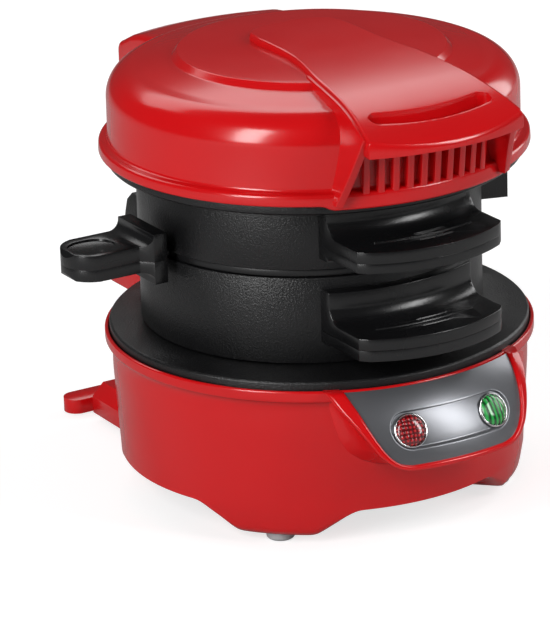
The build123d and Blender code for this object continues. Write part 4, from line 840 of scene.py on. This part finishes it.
class SANDWICH_OT_panel(bpy.types.Operator):
    """Grey panel with its round-ended recess, two lenses and their bright rings"""
    bl_idname = "sandwich.panel"
    bl_label = "Control panel"

    recess_half = 20.0
    recess_r = 5.6
    depth = 0.8
    lens_r = 4.5
    lens_seat = 1.8
    lens_sink = 0.5
    lens_rise = 1.5
    ring_gap = 0.36
    ring_half = 0.34
    ring_high = 0.42

    def about_lens(self, x, s, r, h, turn):
        """Points at radius r and height h, turned about a lens's axis, and their places across it."""
        origin, right, up, out = lens_frame(x, s)
        flat = np.stack([r * np.cos(turn), r * np.sin(turn)], -1)
        grid = origin + flat[..., :1] * right + flat[..., 1:] * up + (h + 0 * turn)[..., None] * out
        return grid, flat

    def execute(self, context):
        s = context.scene.sandwich_base
        line = np.array(PANEL_EDGE)
        heights = np.linspace(line[-1, 1], BASE_TOP - 0.2, 120)
        half = np.interp(heights, line[::-1, 1], line[::-1, 0]) + 0.3
        across = np.linspace(-1, 1, 231)[None, :]
        x = across * half[:, None]
        z = heights[:, None] + 0 * across
        rise = s.bulge * (np.arcsin((z - PANEL_CENTRE_Z) / s.bulge)
                          - np.arcsin((LENS_RISE - PANEL_CENTRE_Z) / s.bulge))
        straight = self.recess_half - self.recess_r
        inside = np.hypot(np.maximum(np.abs(x) - straight, 0), rise) - self.recess_r
        sunk = self.depth * (1 - smooth_step(-0.45, 0.35, inside))
        reach = panel_r(z, s, -sunk)
        face = np.stack([x, -np.sqrt(reach ** 2 - x ** 2), z], -1)
        panel = grid_object("panel_face", face)
        wall = panel.modifiers.new("Wall", "SOLIDIFY")
        wall.thickness = 1.6 * MM
        wall.offset = -1.0
        apply_modifiers(panel)
        sharpen(panel, 60)
        finished(panel, "base", "grey_panel", "control_panel")
        t = np.linspace(0, pi / 2, 14)
        dome_r = np.r_[0.0, self.lens_r, self.lens_r * np.cos(t[:-1]) ** 0.8, 0.0][None, :]
        dome_h = np.r_[-self.lens_seat, -self.lens_seat, self.lens_rise * np.sin(t) - self.lens_sink][None, :]
        turn = np.linspace(0, 2 * pi, 64, endpoint=False)[:, None]
        for side, name, slot in ((-1, "power_lens", "red_lens"), (1, "ready_lens", "green_lens")):
            grid, flat = self.about_lens(side * LENS_X, s, dome_r, dome_h, turn)
            lens = grid_object(name + "_dome", grid, wrap_rows=True, uv=flat / (2 * self.lens_r) + 0.5)
            finished(lens, "base", slot, name)
        turn = np.linspace(0, 2 * pi, 72, endpoint=False)[:, None]
        tube = np.linspace(0, 2 * pi, 16, endpoint=False)[None, :]
        ring_r = self.lens_r + self.ring_gap + self.ring_half * np.cos(tube)
        ring_h = self.ring_high * (np.sin(tube) - 1)
        rings = []
        for side in (-1, 1):
            grid, _ = self.about_lens(side * LENS_X, s, ring_r, ring_h, turn)
            rings.append(grid_object("ring", grid, wrap_rows=True, wrap_columns=True))
        finished(join(rings, "lens_bright_rings"), "base", "chrome_trim", "lens_rings")
        return {"FINISHED"}


# ---------------------------------------------------------------- black parts and small parts
EASED = [
    ("base_flange", "base", 0.4), ("lower_ring", "lower_ring", 0.5), ("upper_ring", "upper_ring", 0.5),
    ("lower_handle_top", "lower_ring", 0.6), ("lower_handle_base", "lower_ring", 0.6),
    ("upper_handle_top", "upper_ring", 0.6), ("upper_handle_base", "upper_ring", 0.6),
    ("egg_plate", "egg_plate", 0.3), ("egg_handle_top", "egg_plate", 0.6),
    ("egg_handle_base", "egg_plate", 0.6),
    ("lid_liner", "lid", 0.4), ("lid_hinge_arm", "lid", 0.6), ("rear_stabiliser", "base", 0.8),
    ("rubber_feet", "base", 0.3), ("bottom_cover", "base", 0.3), ("upper_heating_plate", "lid", 0.4),
    ("lower_heating_plate", "base", 0.4), ("hinge_pin", "base", 0.2), ("pin_clips", "base", 0.1),
    ("cord_grommet", "base", 0.3), ("plate_pivot_pin", "upper_ring", 0.2),
]


class SANDWICH_OT_eased_parts(bpy.types.Operator):
    """Cast rings, plates, handles and hinge parts with eased edges"""
    bl_idname = "sandwich.eased_parts"
    bl_label = "Cast and moulded parts"

    def execute(self, context):
        for node, body, width in EASED:
            finished(eased_copy(node, node + "_eased", width), body, NODE_SLOT[node], node)
        return {"FINISHED"}


# ---------------------------------------------------------------- stage
class SANDWICH_OT_stage(bpy.types.Operator):
    """Pale floor, soft lamps and the camera at the product's viewing angle"""
    bl_idname = "sandwich.stage"
    bl_label = "Studio"

    azimuth = -31.0
    elevation = 19.33
    distance = 1.2185
    target = (0.0, 0.0, 0.060)
    roll = 1.58
    focal_px = 4000.0
    pan_px = 43.88
    tilt_px = 23.56
    image_height = 622.0

    def camera(self, context):
        """The view's axes turned by pan, tilt and roll."""
        az, el, roll = radians(self.azimuth), radians(self.elevation), radians(self.roll)
        right = Vector((cos(az), sin(az), 0))
        up = Vector((-sin(az) * sin(el), cos(az) * sin(el), cos(el)))
        depth = Vector((-sin(az) * cos(el), cos(az) * cos(el), -sin(el)))
        pan, tilt = atan(self.pan_px / self.focal_px), atan(self.tilt_px / self.focal_px)
        u = right * cos(pan) + depth * sin(pan)
        ahead = depth * cos(pan) - right * sin(pan)
        v = up * cos(tilt) + ahead * sin(tilt)
        look = ahead * cos(tilt) - up * sin(tilt)
        x, y = u * cos(roll) - v * sin(roll), u * sin(roll) + v * cos(roll)
        data = bpy.data.cameras.new("Camera")
        data.sensor_fit = "VERTICAL"
        data.sensor_height = 36.0
        data.lens = self.focal_px / self.image_height * data.sensor_height
        data.clip_end = 20
        camera = bpy.data.objects.new("Camera", data)
        context.scene.collection.objects.link(camera)
        place = Matrix.Identity(4)
        for column, axis in enumerate((x, y, -look)):
            for row in range(3):
                place[row][column] = axis[row]
        place.translation = Vector(self.target) - depth * self.distance
        camera.matrix_world = place
        context.scene.camera = camera

    def lamp(self, context, name, place, aim, size, power):
        """Square soft lamp aimed at a point."""
        data = bpy.data.lights.new(name, "AREA")
        data.shape = "RECTANGLE"
        data.size, data.size_y = size
        data.energy = power
        lamp = bpy.data.objects.new(name, data)
        context.scene.collection.objects.link(lamp)
        lamp.location = place
        lamp.rotation_euler = (Vector(aim) - Vector(place)).to_track_quat("-Z", "Y").to_euler()

    def floor(self):
        """Wide pale disc; for the camera it is lifted towards white."""
        spokes = np.array([(0.0, 0.0), (300.0, 0.0), (1500.0, 0.0), (4000.0, 0.0)])
        disc = turned("floor", spokes, 96)
        material, nodes, links, bsdf, _ = shader("pale_floor")
        bsdf.inputs["Base Color"].default_value = (0.50, 0.50, 0.50, 1)
        bsdf.inputs["Roughness"].default_value = 0.8
        bsdf.inputs["Specular IOR Level"].default_value = 0.1
        path = nodes.new("ShaderNodeLightPath")
        lift = nodes.new("ShaderNodeEmission")
        seen = nodes.new("ShaderNodeMath")
        seen.operation = "MULTIPLY"
        seen.inputs[1].default_value = 0.70
        links.new(path.outputs["Is Camera Ray"], seen.inputs[0])
        links.new(seen.outputs[0], lift.inputs["Strength"])
        add = nodes.new("ShaderNodeAddShader")
        links.new(bsdf.outputs[0], add.inputs[0])
        links.new(lift.outputs[0], add.inputs[1])
        links.new(add.outputs[0], nodes["Material Output"].inputs["Surface"])
        disc.data.materials.append(material)

    def world(self, context):
        """Even soft light, and plain white where the camera sees past the floor."""
        world = bpy.data.worlds.new("studio")
        world.use_nodes = True
        context.scene.world = world
        nodes, links = world.node_tree.nodes, world.node_tree.links
        path = nodes.new("ShaderNodeLightPath")
        background = nodes["Background"]
        background.inputs["Color"].default_value = (1, 1, 1, 1)
        strength = nodes.new("ShaderNodeMapRange")
        strength.inputs["To Min"].default_value = 0.06
        strength.inputs["To Max"].default_value = 1.0
        links.new(path.outputs["Is Camera Ray"], strength.inputs["Value"])
        links.new(strength.outputs[0], background.inputs["Strength"])

    def execute(self, context):
        context.scene.view_settings.view_transform = "Standard"
        self.camera(context)
        self.world(context)
        self.floor()
        self.lamp(context, "left", (-1.05, -0.45, 0.62), (0, 0, 0.06), (0.32, 1.0), 13.0)
        self.lamp(context, "right", (0.66, -0.95, 0.74), (0, 0, 0.05), (0.30, 0.8), 8.0)
        self.lamp(context, "side", (1.1, 0.15, 0.5), (0, 0, 0.06), (0.4, 0.9), 4.0)
        self.lamp(context, "back", (0.1, 0.9, 1.0), (0, 0, 0.1), (1.5, 0.5), 5.0)
        return {"FINISHED"}


class SANDWICH_PT_panel(bpy.types.Panel):
    """Sizes, colours and the steps that build the object"""
    bl_label = "Sandwich maker"
    bl_idname = "SANDWICH_PT_panel"
    bl_space_type = "VIEW_3D"
    bl_region_type = "UI"
    bl_category = "Sandwich"

    def draw(self, context):
        for group in ("sandwich_finish", "sandwich_lid", "sandwich_base"):
            owner = getattr(context.scene, group)
            for name in owner.__annotations__:
                self.layout.prop(owner, name)
        for step in STEPS:
            self.layout.operator(step.bl_idname)


STEPS = (SANDWICH_OT_materials, SANDWICH_OT_stage, SANDWICH_OT_lid, SANDWICH_OT_lid_handle, SANDWICH_OT_base,
         SANDWICH_OT_hood, SANDWICH_OT_panel, SANDWICH_OT_eased_parts)
GROUPS = {"sandwich_finish": Finish, "sandwich_lid": LidSizes, "sandwich_base": BaseSizes}


def register():
    """Registers the sizes, the steps and the sidebar's panel."""
    for group in GROUPS.values():
        bpy.utils.register_class(group)
    for name, group in GROUPS.items():
        setattr(bpy.types.Scene, name, PointerProperty(type=group))
    for step in (*STEPS, SANDWICH_PT_panel):
        bpy.utils.register_class(step)


def unregister():
    """Takes everything out again, in the opposite order."""
    for step in (SANDWICH_PT_panel, *reversed(STEPS)):
        bpy.utils.unregister_class(step)
    for name, group in GROUPS.items():
        delattr(bpy.types.Scene, name)
        bpy.utils.unregister_class(group)


def main():
    """Runs the steps in order."""
    register()
    for step in STEPS:
        area, name = step.bl_idname.split(".")
        getattr(getattr(bpy.ops, area), name)()


if __name__ == "__main__":
    main()
